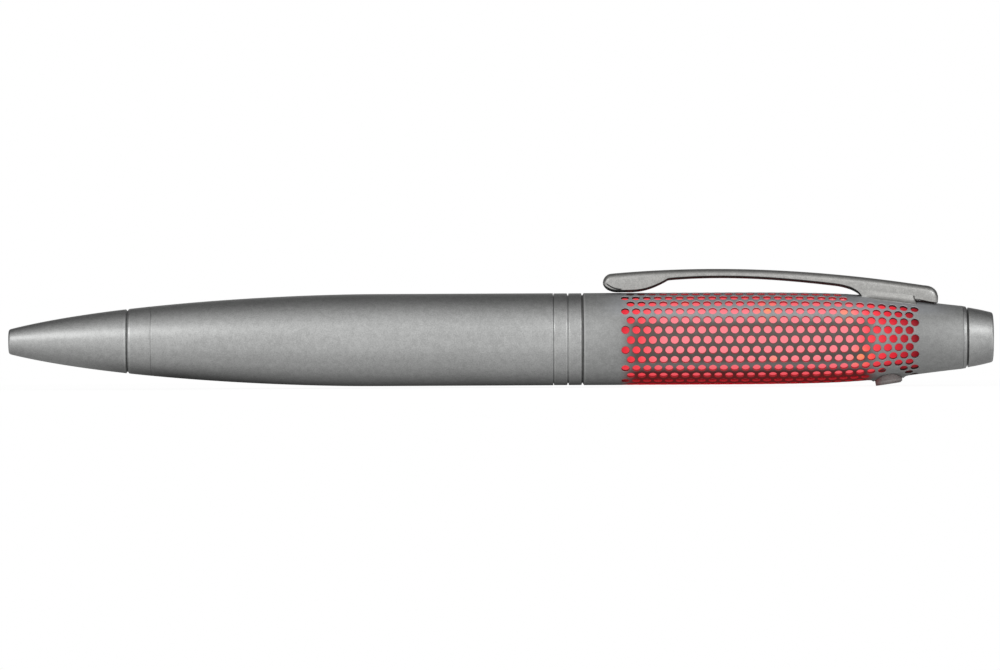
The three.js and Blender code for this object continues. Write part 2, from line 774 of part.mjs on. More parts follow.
function switchBody() {
  const body = chip([SWITCH_SIDE, SWITCH_SIDE, SWITCH_HEIGHT], buttonStation, -1);
  const face = -(BOARD_THICKNESS / 2 + SOLDER_GAP + SWITCH_HEIGHT);
  const depth = PLUNGER_LENGTH - PLUNGER_PROUD + BUTTON_TRAVEL + FIT_GAP;
  const wellRadius = PLUNGER_RADIUS + FIT_GAP;
  const well = turnedUpright([
    [face - OVERRUN, 0],
    [face - OVERRUN, wellRadius],
    [face + depth, wellRadius],
    [face + depth, 0],
  ]).translate(buttonStation, 0, 0);
  return geometryOf(solidOf(body).subtract(solidOf(well)));
}

const plungerEnd = -(BOARD_THICKNESS / 2 + SOLDER_GAP + SWITCH_HEIGHT + PLUNGER_PROUD);

function switchPlunger() {
  const section = [
    [plungerEnd, 0],
    [plungerEnd, PLUNGER_RADIUS],
    [plungerEnd + PLUNGER_LENGTH, PLUNGER_RADIUS],
    [plungerEnd + PLUNGER_LENGTH, 0],
  ];
  return turnedUpright(section).translate(buttonStation, 0, 0);
}

// Heights of the button and its bezel, as drops below the pen's axis
const bezelFace = radiusAt(buttonStation) + BEZEL_PROUD;
const bezelInnerEnd = bezelFace - BEZEL_DEPTH;
const buttonFace = radiusAt(buttonStation) + BUTTON_PROUD;
const buttonLowest = buttonFace + BUTTON_SLOPE * BUTTON_RADIUS;

function buttonBezel() {
  const chamfer = BEZEL_WALL / 3;
  const section = [
    [-bezelFace, bezelBore],
    [-bezelFace, bezelRadius - chamfer],
    [-bezelFace + chamfer, bezelRadius],
    [-bezelInnerEnd, bezelRadius],
    [-bezelInnerEnd, bezelBore],
  ];
  return turnedUpright(section, INNER_SIDES).translate(buttonStation, 0, 0);
}

function lightButton() {
  const flangeFace = bezelInnerEnd - FIT_GAP;
  const flangeBack = flangeFace - BUTTON_FLANGE;
  const section = [
    [-buttonLowest - OVERRUN, 0],
    [-buttonLowest - OVERRUN, BUTTON_RADIUS],
    [-flangeFace, BUTTON_RADIUS],
    [-flangeFace, buttonFlangeRadius],
    [-flangeBack, buttonFlangeRadius],
    [-flangeBack, PLUNGER_RADIUS],
    [plungerEnd - SOLDER_GAP, PLUNGER_RADIUS],
    [plungerEnd - SOLDER_GAP, 0],
  ];
  const reach = 3 * BUTTON_RADIUS;
  const below = box([reach, reach, reach], [0, 0, -reach / 2]);
  below.rotateY(-Math.atan(BUTTON_SLOPE)).translate(buttonStation, 0, -buttonFace);
  const body = turnedUpright(section, INNER_SIDES).translate(buttonStation, 0, 0);
  return geometryOf(solidOf(body).subtract(solidOf(below)));
}

function batteryHolder() {
  const rear = cellsEnd - 2 * END_GAP;
  const section = [
    [holderStart, 0],
    [holderStart, holderRadius],
    [rear, holderRadius],
    [rear, holderBore],
    [holderFloorEnd, holderBore],
    [holderFloorEnd, 0],
  ];
  return turned(section);
}

function cell(start) {
  const section = [
    [start, 0],
    [start, CELL_RADIUS - CELL_EDGE],
    [start + CELL_EDGE, CELL_RADIUS],
    [start + CELL_LENGTH, CELL_RADIUS],
    [start + CELL_LENGTH, 0],
  ];
  return turned(section);
}

// A point at a height above the barrel's outline, so that the clip follows the barrel
const above = (station, height) => [station, radiusAt(station) + height];

// Clip: a heel that rests on the sleeve, a long arched arm and a foot past the saddle
function clipOutline() {
  const padFront = clipStart + CLIP_PAD_START;
  const padRear = padFront + CLIP_PAD_LENGTH;
  const armFront = clipStart + CLIP_ARM_START;
  const armRear = saddleStart - CLIP_ROOT_LENGTH;
  const armThird = (armRear - armFront) / 3;
  const topFront = clipStart + CLIP_HEEL_ROUND;
  const topRear = clipEnd - CLIP_TAIL_ROUND;
  const topThird = (topRear - topFront) / 3;
  const seat = SADDLE_HEIGHT + CLIP_REST_GAP;
  const shape = new THREE.Shape();
  shape.moveTo(...above(padRear, CLIP_REST_GAP));
  shape.quadraticCurveTo(
    ...above((padRear + armFront) / 2, 2 * CLIP_REST_GAP),
    ...above(armFront, CLIP_ARM_LIFT),
  );
  shape.bezierCurveTo(
    ...above(armFront + armThird, CLIP_ARM_LIFT),
    ...above(armRear - armThird, CLIP_ARM_REAR_LIFT),
    ...above(armRear, CLIP_ROOT_LIFT),
  );
  shape.quadraticCurveTo(
    ...above(saddleStart - 3 * CLIP_ROOT_EASE, seat),
    ...above(saddleStart - CLIP_ROOT_EASE, seat),
  );
  shape.lineTo(...above(saddleEnd + CLIP_REST_GAP, seat));
  shape.lineTo(...above(saddleEnd + seat - CLIP_FOOT_GAP, CLIP_FOOT_GAP));
  shape.lineTo(...above(clipEnd, CLIP_FOOT_GAP));
  shape.lineTo(...above(clipEnd, CLIP_TAIL_HEIGHT));
  shape.quadraticCurveTo(
    ...above(clipEnd, CLIP_TOP_AT_TAIL),
    ...above(topRear, CLIP_TOP_AT_TAIL),
  );
  shape.bezierCurveTo(
    ...above(topRear - topThird, CLIP_TOP_REAR),
    ...above(topFront + topThird, CLIP_TOP_CREST),
    ...above(topFront, CLIP_TOP_AT_HEEL),
  );
  shape.quadraticCurveTo(
    ...above(clipStart, CLIP_TOP_AT_HEEL),
    ...above(clipStart, CLIP_HEEL_HEIGHT),
  );
  shape.quadraticCurveTo(
    ...above(clipStart, CLIP_REST_GAP),
    ...above(padFront, CLIP_REST_GAP),
  );
  return shape;
}

function clip() {
  return geometryOf(solidOf(extrudedAcross(clipOutline(), CLIP_WIDTH, CLIP_EDGE)));
}

// Clip mount: a saddle shaped to the sleeve, with a stud through its wall and a head inside
function clipMount() {
  const seat = new THREE.Shape();
  seat.moveTo(saddleStart, radiusAt(saddleStart) / 2);
  seat.lineTo(saddleEnd, radiusAt(saddleEnd) / 2);
  seat.lineTo(...above(saddleEnd, SADDLE_HEIGHT));
  seat.lineTo(...above(saddleStart, SADDLE_HEIGHT));
  const front = saddleStart - OVERRUN;
  const rear = saddleEnd + OVERRUN;
  const section = [[front, 0], ...outline(front, rear, SHORT_STEPS, -FIT_GAP), [rear, 0]];
  const sleeve = turned(section, OUTER_SIDES);
  const saddle = solidOf(extrudedAcross(seat, CLIP_WIDTH)).subtract(solidOf(sleeve));
  const station = (saddleStart + saddleEnd) / 2;
  const headTop = radiusAt(station) - SLEEVE_WALL - 2 * RUNNING_GAP;
  const stud = turnedUpright([
    [headTop - STUD_HEAD_THICKNESS, 0],
    [headTop - STUD_HEAD_THICKNESS, STUD_HEAD_RADIUS],
    [headTop, STUD_HEAD_RADIUS],
    [headTop, STUD_RADIUS],
    [radiusAt(station) + SADDLE_HEIGHT / 2, STUD_RADIUS],
    [radiusAt(station) + SADDLE_HEIGHT / 2, 0],
  ]).translate(station, 0, 0);
  return geometryOf(saddle.add(solidOf(stud)));
}

addShell("nose_cone", noseCone());
addShell("front_band", frontBand());
addShell("lower_barrel", lowerBarrel());
addShell("centre_ring_front", centreRing(lowerBarrelEnd));
addShell("centre_ring_rear", centreRing(frontRingEnd));
addShell("upper_barrel", upperBarrel());
addShell("end_band", endBand());
addShell("tail_cap", tailCap());
addShell("clip", clip());
addShell("clip_mount", clipMount());
addShell("button_bezel", buttonBezel());
add("light_button", lightButton(), 0x6c6a6c, 0.35, 0, { transparent: true, opacity: 0.85 });

addBrass("refill_tip", refillTip());
addSteel("writing_ball", writingBall());
addBrass("refill_tube", tube(tipEnd + FIT_GAP, refillEnd, refillBore, REFILL_RADIUS, SMALL_SIDES));
addPlastic("refill_carrier", refillCarrier(), 0x2b2c2e);
addSteel("return_spring", returnSpring());
addPlastic("twist_guide", twistGuide(), 0xd8d6cf);
addBrass("cam_sleeve", camSleeve());
addPlastic("bearing_bush", bearingBush(), 0x3a3b3d);

const glow = { transparent: true, opacity: 0.7, emissive: 0xff2030, emissiveIntensity: 0.8 };
add("diffuser_tube", diffuserTube(), 0xf6b4b8, 0.5, 0, glow);
addPlastic("led_board", ledBoard(), 0x1f5a38);
["front", "middle", "rear"].forEach((place, i) => {
  const station = firstLed + i * ledPitch;
  const size = [LED_LENGTH, LED_WIDTH, LED_HEIGHT];
  addPlastic(`led_top_${place}`, chip(size, station, 1), 0xffd9a0);
  addPlastic(`led_under_${place}`, chip(size, station, -1), 0xffd9a0);
});
addPlastic("resistor", chip(RESISTOR_SIZE, buttonStation - RESISTOR_SIZE[0] / 2, 1), 0x191919);
addPlastic("switch_body", switchBody(), 0x1d1d1f);
addPlastic("switch_plunger", switchPlunger(), 0xe8e4da);
addPlastic("battery_holder", batteryHolder(), 0x222326);
addBrass("contact_plate", tube(plateStart, plateEnd, 0, CELL_RADIUS - FIT_GAP));
addSteel("cell_front", cell(frontCellStart));
addSteel("cell_rear", cell(rearCellStart));
addSteel("contact_spring", contactSpring());

// The pen stands on its button and its belly, midway along it.
pen.position.set(-penLength / 2, 0, buttonLowest);

const part = new THREE.Group();
part.add(pen);

export default part;
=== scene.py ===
"""Builds the finished look of a twist-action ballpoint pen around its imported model."""

import json
import math
from bisect import bisect_left

import bmesh
import bpy
from bpy.props import FloatProperty, FloatVectorProperty, IntProperty, PointerProperty
from bpy.types import Operator, Panel, PropertyGroup
from mathutils import Euler, Matrix, Vector
from mathutils.geometry import interpolate_bezier


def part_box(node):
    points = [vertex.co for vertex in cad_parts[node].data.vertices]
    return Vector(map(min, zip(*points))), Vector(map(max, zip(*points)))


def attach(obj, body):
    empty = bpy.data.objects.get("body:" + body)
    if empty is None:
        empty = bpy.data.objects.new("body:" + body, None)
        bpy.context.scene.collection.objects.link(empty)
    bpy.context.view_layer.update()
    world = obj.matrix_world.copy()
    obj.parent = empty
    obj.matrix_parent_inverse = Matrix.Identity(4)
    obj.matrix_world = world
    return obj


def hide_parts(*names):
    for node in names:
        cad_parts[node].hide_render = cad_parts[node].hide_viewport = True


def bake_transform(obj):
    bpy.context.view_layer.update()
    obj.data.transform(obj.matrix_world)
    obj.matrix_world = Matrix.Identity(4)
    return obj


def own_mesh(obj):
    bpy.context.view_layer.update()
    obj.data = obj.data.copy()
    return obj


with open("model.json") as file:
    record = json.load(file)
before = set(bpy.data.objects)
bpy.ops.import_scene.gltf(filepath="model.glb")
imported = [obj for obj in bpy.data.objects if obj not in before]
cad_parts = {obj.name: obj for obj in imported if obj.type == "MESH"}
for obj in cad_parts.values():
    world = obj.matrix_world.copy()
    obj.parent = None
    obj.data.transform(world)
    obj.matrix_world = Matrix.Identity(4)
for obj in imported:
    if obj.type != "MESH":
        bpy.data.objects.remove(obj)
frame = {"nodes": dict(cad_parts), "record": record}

bl_info = {
    "name": "Light-up Ballpoint Pen",
    "version": (1, 0, 0),
    "blender": (4, 5, 0),
    "location": "3D View > Sidebar > Pen",
    "description": "Twist-action pen with a perforated sleeve that is lit from inside",
    "category": "Object",
}

# Pieces are modelled in millimetres, with x the station from the writing end, y across the pen
# and z the height above its axis. place_in_frame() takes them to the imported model's frame.
MM = 0.001
TIP_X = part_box("nose_cone")[0][0]
AXIS_Z = sum(corner[2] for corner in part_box("lower_barrel")) / 2


def station_of(node, end):
    """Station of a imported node's front (end 0) or rear (end 1), in millimetres"""
    return (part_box(node)[end][0] - TIP_X) / MM


def height_of(node, end):
    """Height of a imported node's lowest (end 0) or highest (end 1) point above the pen's axis"""
    return (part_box(node)[end][2] - AXIS_Z) / MM


def refill_travel():
    """How far the twist drives the refill, in metres"""
    joints = frame["record"]["behaviour"]["joints"]
    return next(joint["range_m"][1] for joint in joints if joint["name"] == "refill_slide")


# Stations of the joints and of the pieces' ends
NOSE_END = 16.95
FRONT_BAND_END = 20.31
LOWER_BARREL_END = station_of("lower_barrel", 1)
RING_LENGTH = 2.07
FRONT_RING_END = LOWER_BARREL_END + RING_LENGTH
REAR_RING_END = FRONT_RING_END + RING_LENGTH
SLEEVE_END = station_of("upper_barrel", 1)
END_BAND_END = station_of("end_band", 1)
PEN_LENGTH = station_of("tail_cap", 1)
CLIP_START = station_of("clip", 0)
CLIP_END = station_of("clip", 1)
SADDLE_START = station_of("clip_mount", 0)
SADDLE_END = station_of("clip_mount", 1)
SADDLE_MIDDLE = (SADDLE_START + SADDLE_END) / 2
BUTTON_STATION = (station_of("button_bezel", 0) + station_of("button_bezel", 1)) / 2
DIFFUSER_START = station_of("diffuser_tube", 0)
DIFFUSER_END = station_of("diffuser_tube", 1)
DIFFUSER_RADIUS = 5.6

# The barrel swells from the nose to the belly, is straight there, and narrows again to the tail
NOSE_RADIUS = 1.74
BELLY_RADIUS = 6.55
BELLY_START = 52
BELLY_END = 100
SLEEVE_END_RADIUS = 4.47

# Length of the nose's and the front band's threaded spigots, the bore round the nose's, and their gap
SPIGOT_LENGTH = 4.5
SPIGOT_BORE = 3.125
RUNNING_GAP = 0.1

# Stations over which the lamps inside the sleeve shine, where the sleeve and the holes' walls get painted
# shade and a painted red glow
LIT_START = 88.0
LIT_END = 122.5

# Sides of a turned piece
SIDES = 120


def curve(*corners, steps=48):
    """Points (station, height) on a cubic curve given by its two ends and two handles"""
    start, first, second, end = (Vector((x, y, 0)) for x, y in corners)
    return [(point.x, point.y) for point in interpolate_bezier(start, first, second, end, steps + 1)]


# Ends and handles of the two curves that the barrel's outline is made of
SWELLING = ((0, NOSE_RADIUS), (13.4, 5.157), (37.9, BELLY_RADIUS), (BELLY_START, BELLY_RADIUS))
NARROWING = (
    (BELLY_END, BELLY_RADIUS),
    (124.5, BELLY_RADIUS),
    (SLEEVE_END - 14.5, 6.036),
    (SLEEVE_END, SLEEVE_END_RADIUS),
)
BARREL_OUTLINE = curve(*SWELLING) + curve(*NARROWING)


def height_on(outline, station):
    """Height of an outline at a station, straight between its points"""
    stations = [x for x, _ in outline]
    right = min(max(bisect_left(stations, station), 1), len(outline) - 1)
    (x0, y0), (x1, y1) = outline[right - 1], outline[right]
    return y0 + (y1 - y0) * (station - x0) / (x1 - x0)


def clamped(share):
    """A share kept between 0 and 1"""
    return min(max(share, 0), 1)


def barrel_radius(station):
    """Outer radius of the barrel at a station"""
    return height_on(BARREL_OUTLINE, station)


def outline_points(start, end, steps, inset=0.0):
    """Sharp section points (station, radius, 0) along the barrel's outline"""
    stations = [start + (end - start) * i / steps for i in range(steps + 1)]
    return [(x, barrel_radius(x) - inset, 0) for x in stations]


# Sizes and colours that a user would change


def length_setting(name, description, millimetres):
    """A size"""
    return FloatProperty(name=name, description=description, default=millimetres * MM, unit="LENGTH")


def colour_setting(name, description, *parts):
    """A colour, from its red, green and blue"""
    return FloatVectorProperty(
        name=name, description=description, subtype="COLOR", default=parts, min=0, max=1
    )


def level_setting(name, description, default, **options):
    """A share or brightness between 0 and 1"""
    return FloatProperty(name=name, description=description, default=default, min=0, max=1, **options)


class PenShape(PropertyGroup):
    """Sizes of the visible pieces"""

    hole_diameter: length_setting("Hole diameter", "Width of each hole in the sleeve", 1.16)
    hole_pitch: length_setting("Hole pitch", "Distance between the holes of one row", 1.549)
    hole_rows: IntProperty(name="Hole rows", description="Rows of holes round the sleeve", default=28, min=6)
    hole_columns: IntProperty(name="Holes in a row", description="Holes along each row", default=27, min=4)
    sleeve_wall: length_setting("Sleeve wall", "Thickness of the sleeve", 0.35)
    clip_width: length_setting("Clip width", "Width of the clip across the pen", 3.4)
    groove_depth: length_setting("Groove depth", "Depth of the V groove behind the nose", 0.22)


class PenFinish(PropertyGroup):
    """Colours of the finishes"""

    metal: colour_setting("Metal", "Blasted metal", 0.50, 0.505, 0.50)
    metal_roughness: level_setting("Metal roughness", "Roughness of the metal", 0.42, subtype="FACTOR")
    glow: colour_setting("Glow", "Diffuser where it is brightest", 1.0, 0.25, 0.29)
    glow_red: colour_setting("Red glow", "Diffuser nearer its ends", 1.0, 0.07, 0.09)
    glow_end: colour_setting("Glow at the ends", "Diffuser at its ends", 0.72, 0.02, 0.035)
    lamp: colour_setting("Hot spot", "Diffuser next to a lamp", 1.0, 0.46, 0.10)
    glow_strength: FloatProperty(
        name="Glow strength", description="Brightness of the diffuser", default=0.95, min=0
    )


class PenStage(PropertyGroup):
    """Light and camera"""

    camera_distance: length_setting("Camera distance", "Distance from the pen's middle", 1200)
    picture_width: length_setting("Picture width", "Width of the view at the pen", 142.23)
    camera_roll: FloatProperty(
        name="Camera roll", description="Turn of the picture", default=math.radians(-0.2686), subtype="ANGLE"
    )
    left_power: FloatProperty(
        name="Left lamp", description="Power of the left softbox", default=0.27, subtype="POWER"
    )
    right_power: FloatProperty(
        name="Right lamp", description="Power of the right softbox", default=0.25, subtype="POWER"
    )
    room_front: level_setting("Room front", "Brightness of the room behind the camera", 0.72)
    room_back: level_setting("Room back", "Brightness of the room behind the pen", 0.06)
    room_top: level_setting("Room top", "Brightness added overhead", 0.06)


# Shader building


class Value:
    """A shader socket that takes part in Python sums, each of which adds a Math node"""

    def __init__(self, sheet, socket):
        self.sheet = sheet
        self.socket = socket

    def __add__(self, other):
        return self.sheet.maths("ADD", self, other)

    def __sub__(self, other):
        return self.sheet.maths("SUBTRACT", self, other)

    def __rsub__(self, other):
        return self.sheet.maths("SUBTRACT", other, self)

    def __mul__(self, other):
        return self.sheet.maths("MULTIPLY", self, other)

    def __truediv__(self, other):
        return self.sheet.maths("DIVIDE", self, other)

    __radd__ = __add__
    __rmul__ = __mul__

    def __abs__(self):
        return self.sheet.maths("ABSOLUTE", self)

    def __neg__(self):
        return self * -1.0

    def root(self):
        return self.sheet.maths("SQRT", self)

    def above(self, low, high, to_low=0.0, to_high=1.0):
        """Rises smoothly from to_low at low to to_high at high"""
        settings = {"interpolation_type": "SMOOTHSTEP"}
        values = {"Value": self, "From Min": low, "From Max": high, "To Min": to_low, "To Max": to_high}
        return Value(self.sheet, self.sheet.add("ShaderNodeMapRange", settings, values).outputs["Result"])


class NodeSheet:
    """The node tree of a material or of the room, emptied and then filled node by node"""

    def __init__(self, owner):
        owner.use_nodes = True
        self.nodes = owner.node_tree.nodes
        self.links = owner.node_tree.links
        self.nodes.clear()

    def add(self, kind, settings=None, values=None):
        """A node of a type, its settings first and then the values or links of its sockets"""
        node = self.nodes.new(kind)
        for name, value in (settings or {}).items():
            if name == "stops":
                self.set_stops(node.color_ramp, value)
            else:
                setattr(node, name, value)
        for name, value in (values or {}).items():
            self.feed(node.inputs[name], value)
        return node

    @staticmethod
    def set_stops(ramp, stops):
        """Gives a colour ramp its stops (place, colour)"""
        while len(ramp.elements) < len(stops):
            ramp.elements.new(1)
        for element, (place, colour) in zip(ramp.elements, stops):
            element.position = place
            element.color = (*colour, 1)

    def feed(self, socket, value):
        """Links another socket to a socket, or sets its number or colour"""
        if isinstance(value, Value):
            value = value.socket
        if isinstance(value, bpy.types.NodeSocket):
            self.links.new(value, socket)
        elif socket.type == "RGBA" and len(value) == 3:
            socket.default_value = (*value, 1)
        else:
            socket.default_value = value

    def maths(self, operation, *values):
        """A Math node's result"""
        node = self.add("ShaderNodeMath", {"operation": operation}, dict(enumerate(values)))
        return Value(self, node.outputs[0])

    def highest(self, values):
        """The highest of several values at each point"""
        result = values[0]
        for value in values[1:]:
            result = self.maths("MAXIMUM", result, value)
        return result

    def parts_of(self, vector):
        """The three parts of a vector"""
        outputs = self.add("ShaderNodeSeparateXYZ", {}, {0: vector}).outputs
        return [Value(self, socket) for socket in outputs]

    def ray(self, kind):
        """1 for a kind of ray, such as Camera, and 0 for the others"""
        return Value(self, self.add("ShaderNodeLightPath").outputs[f"Is {kind} Ray"])

    def mix(self, factor, first, second):
        """A colour between two others"""
        node = self.add("ShaderNodeMix", {"data_type": "RGBA"})
        self.feed(node.inputs[0], factor)
        self.feed(node.inputs[6], first)
        self.feed(node.inputs[7], second)
        return node.outputs[2]


class Look(NodeSheet):
    """A material under construction, with its pattern coordinates in the pen's millimetres"""

    def __init__(self, name):
        self.material = bpy.data.materials.new(name)
        super().__init__(self.material)
        self.shader = self.add("ShaderNodeBsdfPrincipled")
        self.add("ShaderNodeOutputMaterial", {}, {"Surface": self.shader.outputs["BSDF"]})
        values = {0: self.add("ShaderNodeTexCoord").outputs["Object"], 1: (TIP_X, 0, AXIS_Z)}
        centred = self.add("ShaderNodeVectorMath", {"operation": "SUBTRACT"}, values)
        values = {0: centred.outputs["Vector"], "Scale": 1 / MM}
        self.point = self.add("ShaderNodeVectorMath", {"operation": "SCALE"}, values).outputs["Vector"]
        self.station, self.across, self.height = self.parts_of(self.point)

    def noise(self, size, detail=2.0, stretch=(1, 1, 1)):
        """Soft noise with marks of about a size in millimetres"""
        point = self.add("ShaderNodeVectorMath", {"operation": "MULTIPLY"}, {0: self.point, 1: stretch})
        values = {"Vector": point.outputs["Vector"], "Scale": 1 / size, "Detail": detail}
        return Value(self, self.add("ShaderNodeTexNoise", {}, values).outputs["Fac"])

    def cells(self, size):
        """Distance to the nearest of random points about a size apart"""
        values = {"Vector": self.point, "Scale": 1 / size}
        return Value(self, self.add("ShaderNodeTexVoronoi", {}, values).outputs["Distance"])

    def bump(self, height, distance, strength=0.5):
        """A normal from a height pattern, its distance in millimetres"""
        values = {"Height": height, "Distance": distance * MM, "Strength": strength}
        return self.add("ShaderNodeBump", {}, values).outputs["Normal"]

    def near(self, station, reach):
        """1 at a station, falling to 0 at a reach on each side"""
        return abs(self.station - station).above(0, reach, 1, 0)

    def along(self, start, end, ease):
        """1 between two stations, with eased ends"""
        rise = self.station.above(start - ease, start + ease)
        return rise * self.station.above(end - ease, end + ease, 1, 0)

    def finish(self, colour, roughness, normal, metallic=0.0, light=None, strength=1.0, **others):
        """Sets the shader's sockets, of which others are named with underscores, and returns the material"""
        values = {"Base Color": colour, "Roughness": roughness, "Normal": normal, "Metallic": metallic}
        if light:
            values.update({"Emission Color": light, "Emission Strength": strength})
        for name, value in others.items():
            values[name.replace("_", " ")] = value
        for name, value in values.items():
            self.feed(self.shader.inputs[name], value)
        return self.material


def tinted(colour, factor):
    """A colour made darker or lighter by a factor"""
    return tuple(min(part * factor, 1) for part in colour)


def blasted_base(look, metal, roughness):
    """Colour, roughness and normal of satin metal with a fine blasted grain"""
    grain = look.noise(0.16, 3)
    mottle = look.noise(0.75, 2)
    cloud = look.noise(9, 2, (0.5, 1, 1))
    pits = look.cells(0.42).above(0.02, 0.16, 1, 0)
    tone = (grain * 0.6 + mottle * 0.25 + cloud * 0.15).above(0.32, 0.68)
    colour = look.mix(tone, tinted(metal, 0.82), tinted(metal, 1.16))
    colour = look.mix(pits * 0.25, colour, tinted(metal, 0.5))
    rough = roughness + (grain - 0.5) * 0.2 + (cloud - 0.5) * 0.08 - pits * 0.06
    normal = look.bump(grain * 0.7 + mottle * 0.5 - pits * 0.5, 0.01, 0.5)
    return colour, rough, normal, mottle


def blasted_metal(name, finish, worn=(), dark=(), shade=1.0):
    """Blasted metal, worn bright at some stations and darkened at others by painted shade in the grooves"""
    look = Look(name)
    metal = tinted(finish.metal, shade)
    colour, rough, normal, mottle = blasted_base(look, metal, finish.metal_roughness)
    if worn:
        wear = look.highest([look.near(x, 0.22) for x in worn]) * mottle.above(0.25, 0.6, 0.35, 1)
        colour = look.mix(wear * 0.5, colour, tinted(metal, 1.45))
        rough = rough - wear * 0.1
    # Painted shade: the metal in these grooves is darkened and made rougher, standing for the shade that
    # falls in them
    if dark:
        painted_groove_shade = look.highest([look.near(x, 0.16) for x in dark])
        colour = look.mix(painted_groove_shade * 0.8, colour, tinted(metal, 0.15))
        rough = rough + painted_groove_shade * 0.2
    return look.finish(colour, rough, normal, metallic=1.0)


def sleeve_metal(finish):
    """Blasted metal with painted shade between the holes across the middle, a painted shaded band with a
    painted bluish highlight along its top over the perforated length, and painted shade with a painted red
    glow on its underside, where the lamps inside would light it
    """
    look = Look("sleeve_metal")
    metal = tinted(finish.metal, 0.92)
    colour, rough, normal, mottle = blasted_base(look, metal, finish.metal_roughness + 0.2)
    lit = look.along(LIT_START, LIT_END, 1.4)
    # Painted shade: the metal between the holes is darkened across the middle of the lit length
    painted_web_shade = lit * abs(look.height + 0.5).above(2.5, 3.8, 1, 0)
    colour = look.mix(painted_web_shade * mottle.above(0.1, 0.6, 0.75, 0.95), colour, (0.17, 0.13, 0.115))
    # Painted light along the perforated length: a darker band across the middle and a painted bluish
    # highlight along the top
    painted_light_band = look.along(86, 133, 3.2)
    colour = look.mix(painted_light_band * abs(look.height + 0.3).above(1.8, 4, 0.2, 0), colour, (0.1, 0.1, 0.1))
    colour = look.mix(painted_light_band * look.height.above(2.8, 4.2, 0, 0.5), colour, (0.66, 0.68, 0.72))
    rim = look.near(REAR_RING_END + 0.3, 0.2)
    colour = look.mix(rim * 0.5, colour, tinted(finish.metal, 1.3))
    # Painted shade on the underside, darkened to a deep red, with a painted red glow below and along the
    # bottom edge, where the lamps' light would fall
    below = lit * look.height.above(-4.9, -3.3, 1, 0)
    colour = look.mix(below * 0.93, colour, (0.05, 0.018, 0.015))
    edge = look.height.above(-6.52, -6.3, 1, 0)
    glow = below * look.height.above(-6.0, -3.6, 0.09, 0.02) + lit * edge * 0.4
    light = look.mix(glow, (0, 0, 0), (1.0, 0.0, 0.012))
    return look.finish(colour, rough, normal, metallic=1.0, light=light)


def clip_metal(name, finish, shade=1.0):
    """Blasted metal of a warmer grey, darkened by a shade factor, with painted shade along the crease that
    parts the heel's lip from its side, and a painted highlight on the top of the tail's end
    """
    look = Look(name)
    warmth = (0.97, 0.955, 0.935)
    metal = tuple(part * share * shade for part, share in zip(finish.metal, warmth))
    colour, rough, normal, mottle = blasted_base(look, metal, finish.metal_roughness)
    # Painted shade: a near-black line along the crease between the heel's lip and its side, following an arc
    low = look.station - (CLIP_START + 2.5)
    arc = BELLY_RADIUS + 0.5 + low * low * 0.2
    heel = look.along(CLIP_START + 0.5, CLIP_START + 2.6, 0.2)
    crease = abs(look.height - arc).above(0.04, 0.17, 1, 0) * heel
    colour = look.mix(crease * 0.9, colour, (0.01, 0.01, 0.01))
    # Painted highlight on the top of the tail's rounded end
    edge = look.near(CLIP_END - 0.75, 0.6) * look.height.above(5.6, 6.4) * 0.5
    colour = look.mix(edge * mottle.above(0.2, 0.5, 0.6, 1), colour, tinted(finish.metal, 1.5))
    return look.finish(colour, rough + crease * 0.3, normal, metallic=1.0)


def painted_shade_and_glow():
    """Painted shade for the inside of the holes, near-black and rough, with a painted red glow where the
    lamps are near
    """
    look = Look("painted_shade_and_glow")
    scale = look.noise(0.2, 3)
    # Painted shade: the walls are near-black
    colour = look.mix(scale, (0.02, 0.018, 0.018), (0.07, 0.06, 0.06))
    # Painted red glow on the walls, all along the lit length for the lower holes
    below = look.height.above(-3.6, -0.6, 1, 0)
    lit = look.highest([look.along(92.0, 123.0, 3.5), look.along(LIT_START, LIT_END, 1.5) * below])
    light = look.mix(lit * scale.above(0.2, 0.8, 0.7, 1), (0.004, 0, 0), (0.36, 0.006, 0.012))
    return look.finish(colour, scale * 0.2 + 0.6, look.bump(scale, 0.02), metallic=0.3, light=light)


BRASS = (0.72, 0.57, 0.31)


def drawn_metal(name, colour, roughness=0.28, size=0.5):
    """Bare brass or steel with turning marks round it and faint stains"""
    look = Look(name)
    rings = look.noise(0.09, 2, (1, 0.04, 0.04))
    marks = look.noise(size, 3)
    stain = look.noise(2.2, 3).above(0.5, 0.75)
    base = look.mix(marks, tinted(colour, 0.82), tinted(colour, 1.12))
    base = look.mix(stain * 0.3, base, tinted(colour, 0.5))
    rough = roughness + (rings - 0.5) * 0.2 + stain * 0.12
    normal = look.bump(rings * 0.7 + marks * 0.3, 0.01, 0.5)
    return look.finish(base, rough, normal, metallic=1.0)


def moulded_plastic(name, colour, roughness=0.5, coat=0.0):
    """Moulded plastic with a fine spark texture, flow clouds and rubbed high spots"""
    look = Look(name)
    spark = look.noise(0.11, 2)
    flow = look.noise(1.6, 3, (0.4, 1, 1))
    scuff = look.noise(0.5, 4, (0.25, 1, 1)).above(0.58, 0.7)
    base = look.mix(flow, tinted(colour, 0.85), tinted(colour, 1.15))
    base = look.mix(scuff * 0.25, base, tinted(colour, 1.5))
    rough = roughness + (spark - 0.5) * 0.2 - scuff * 0.12
    normal = look.bump(spark * 0.7 + flow * 0.3, 0.01, 0.4)
    return look.finish(base, rough, normal, Coat_Weight=coat)


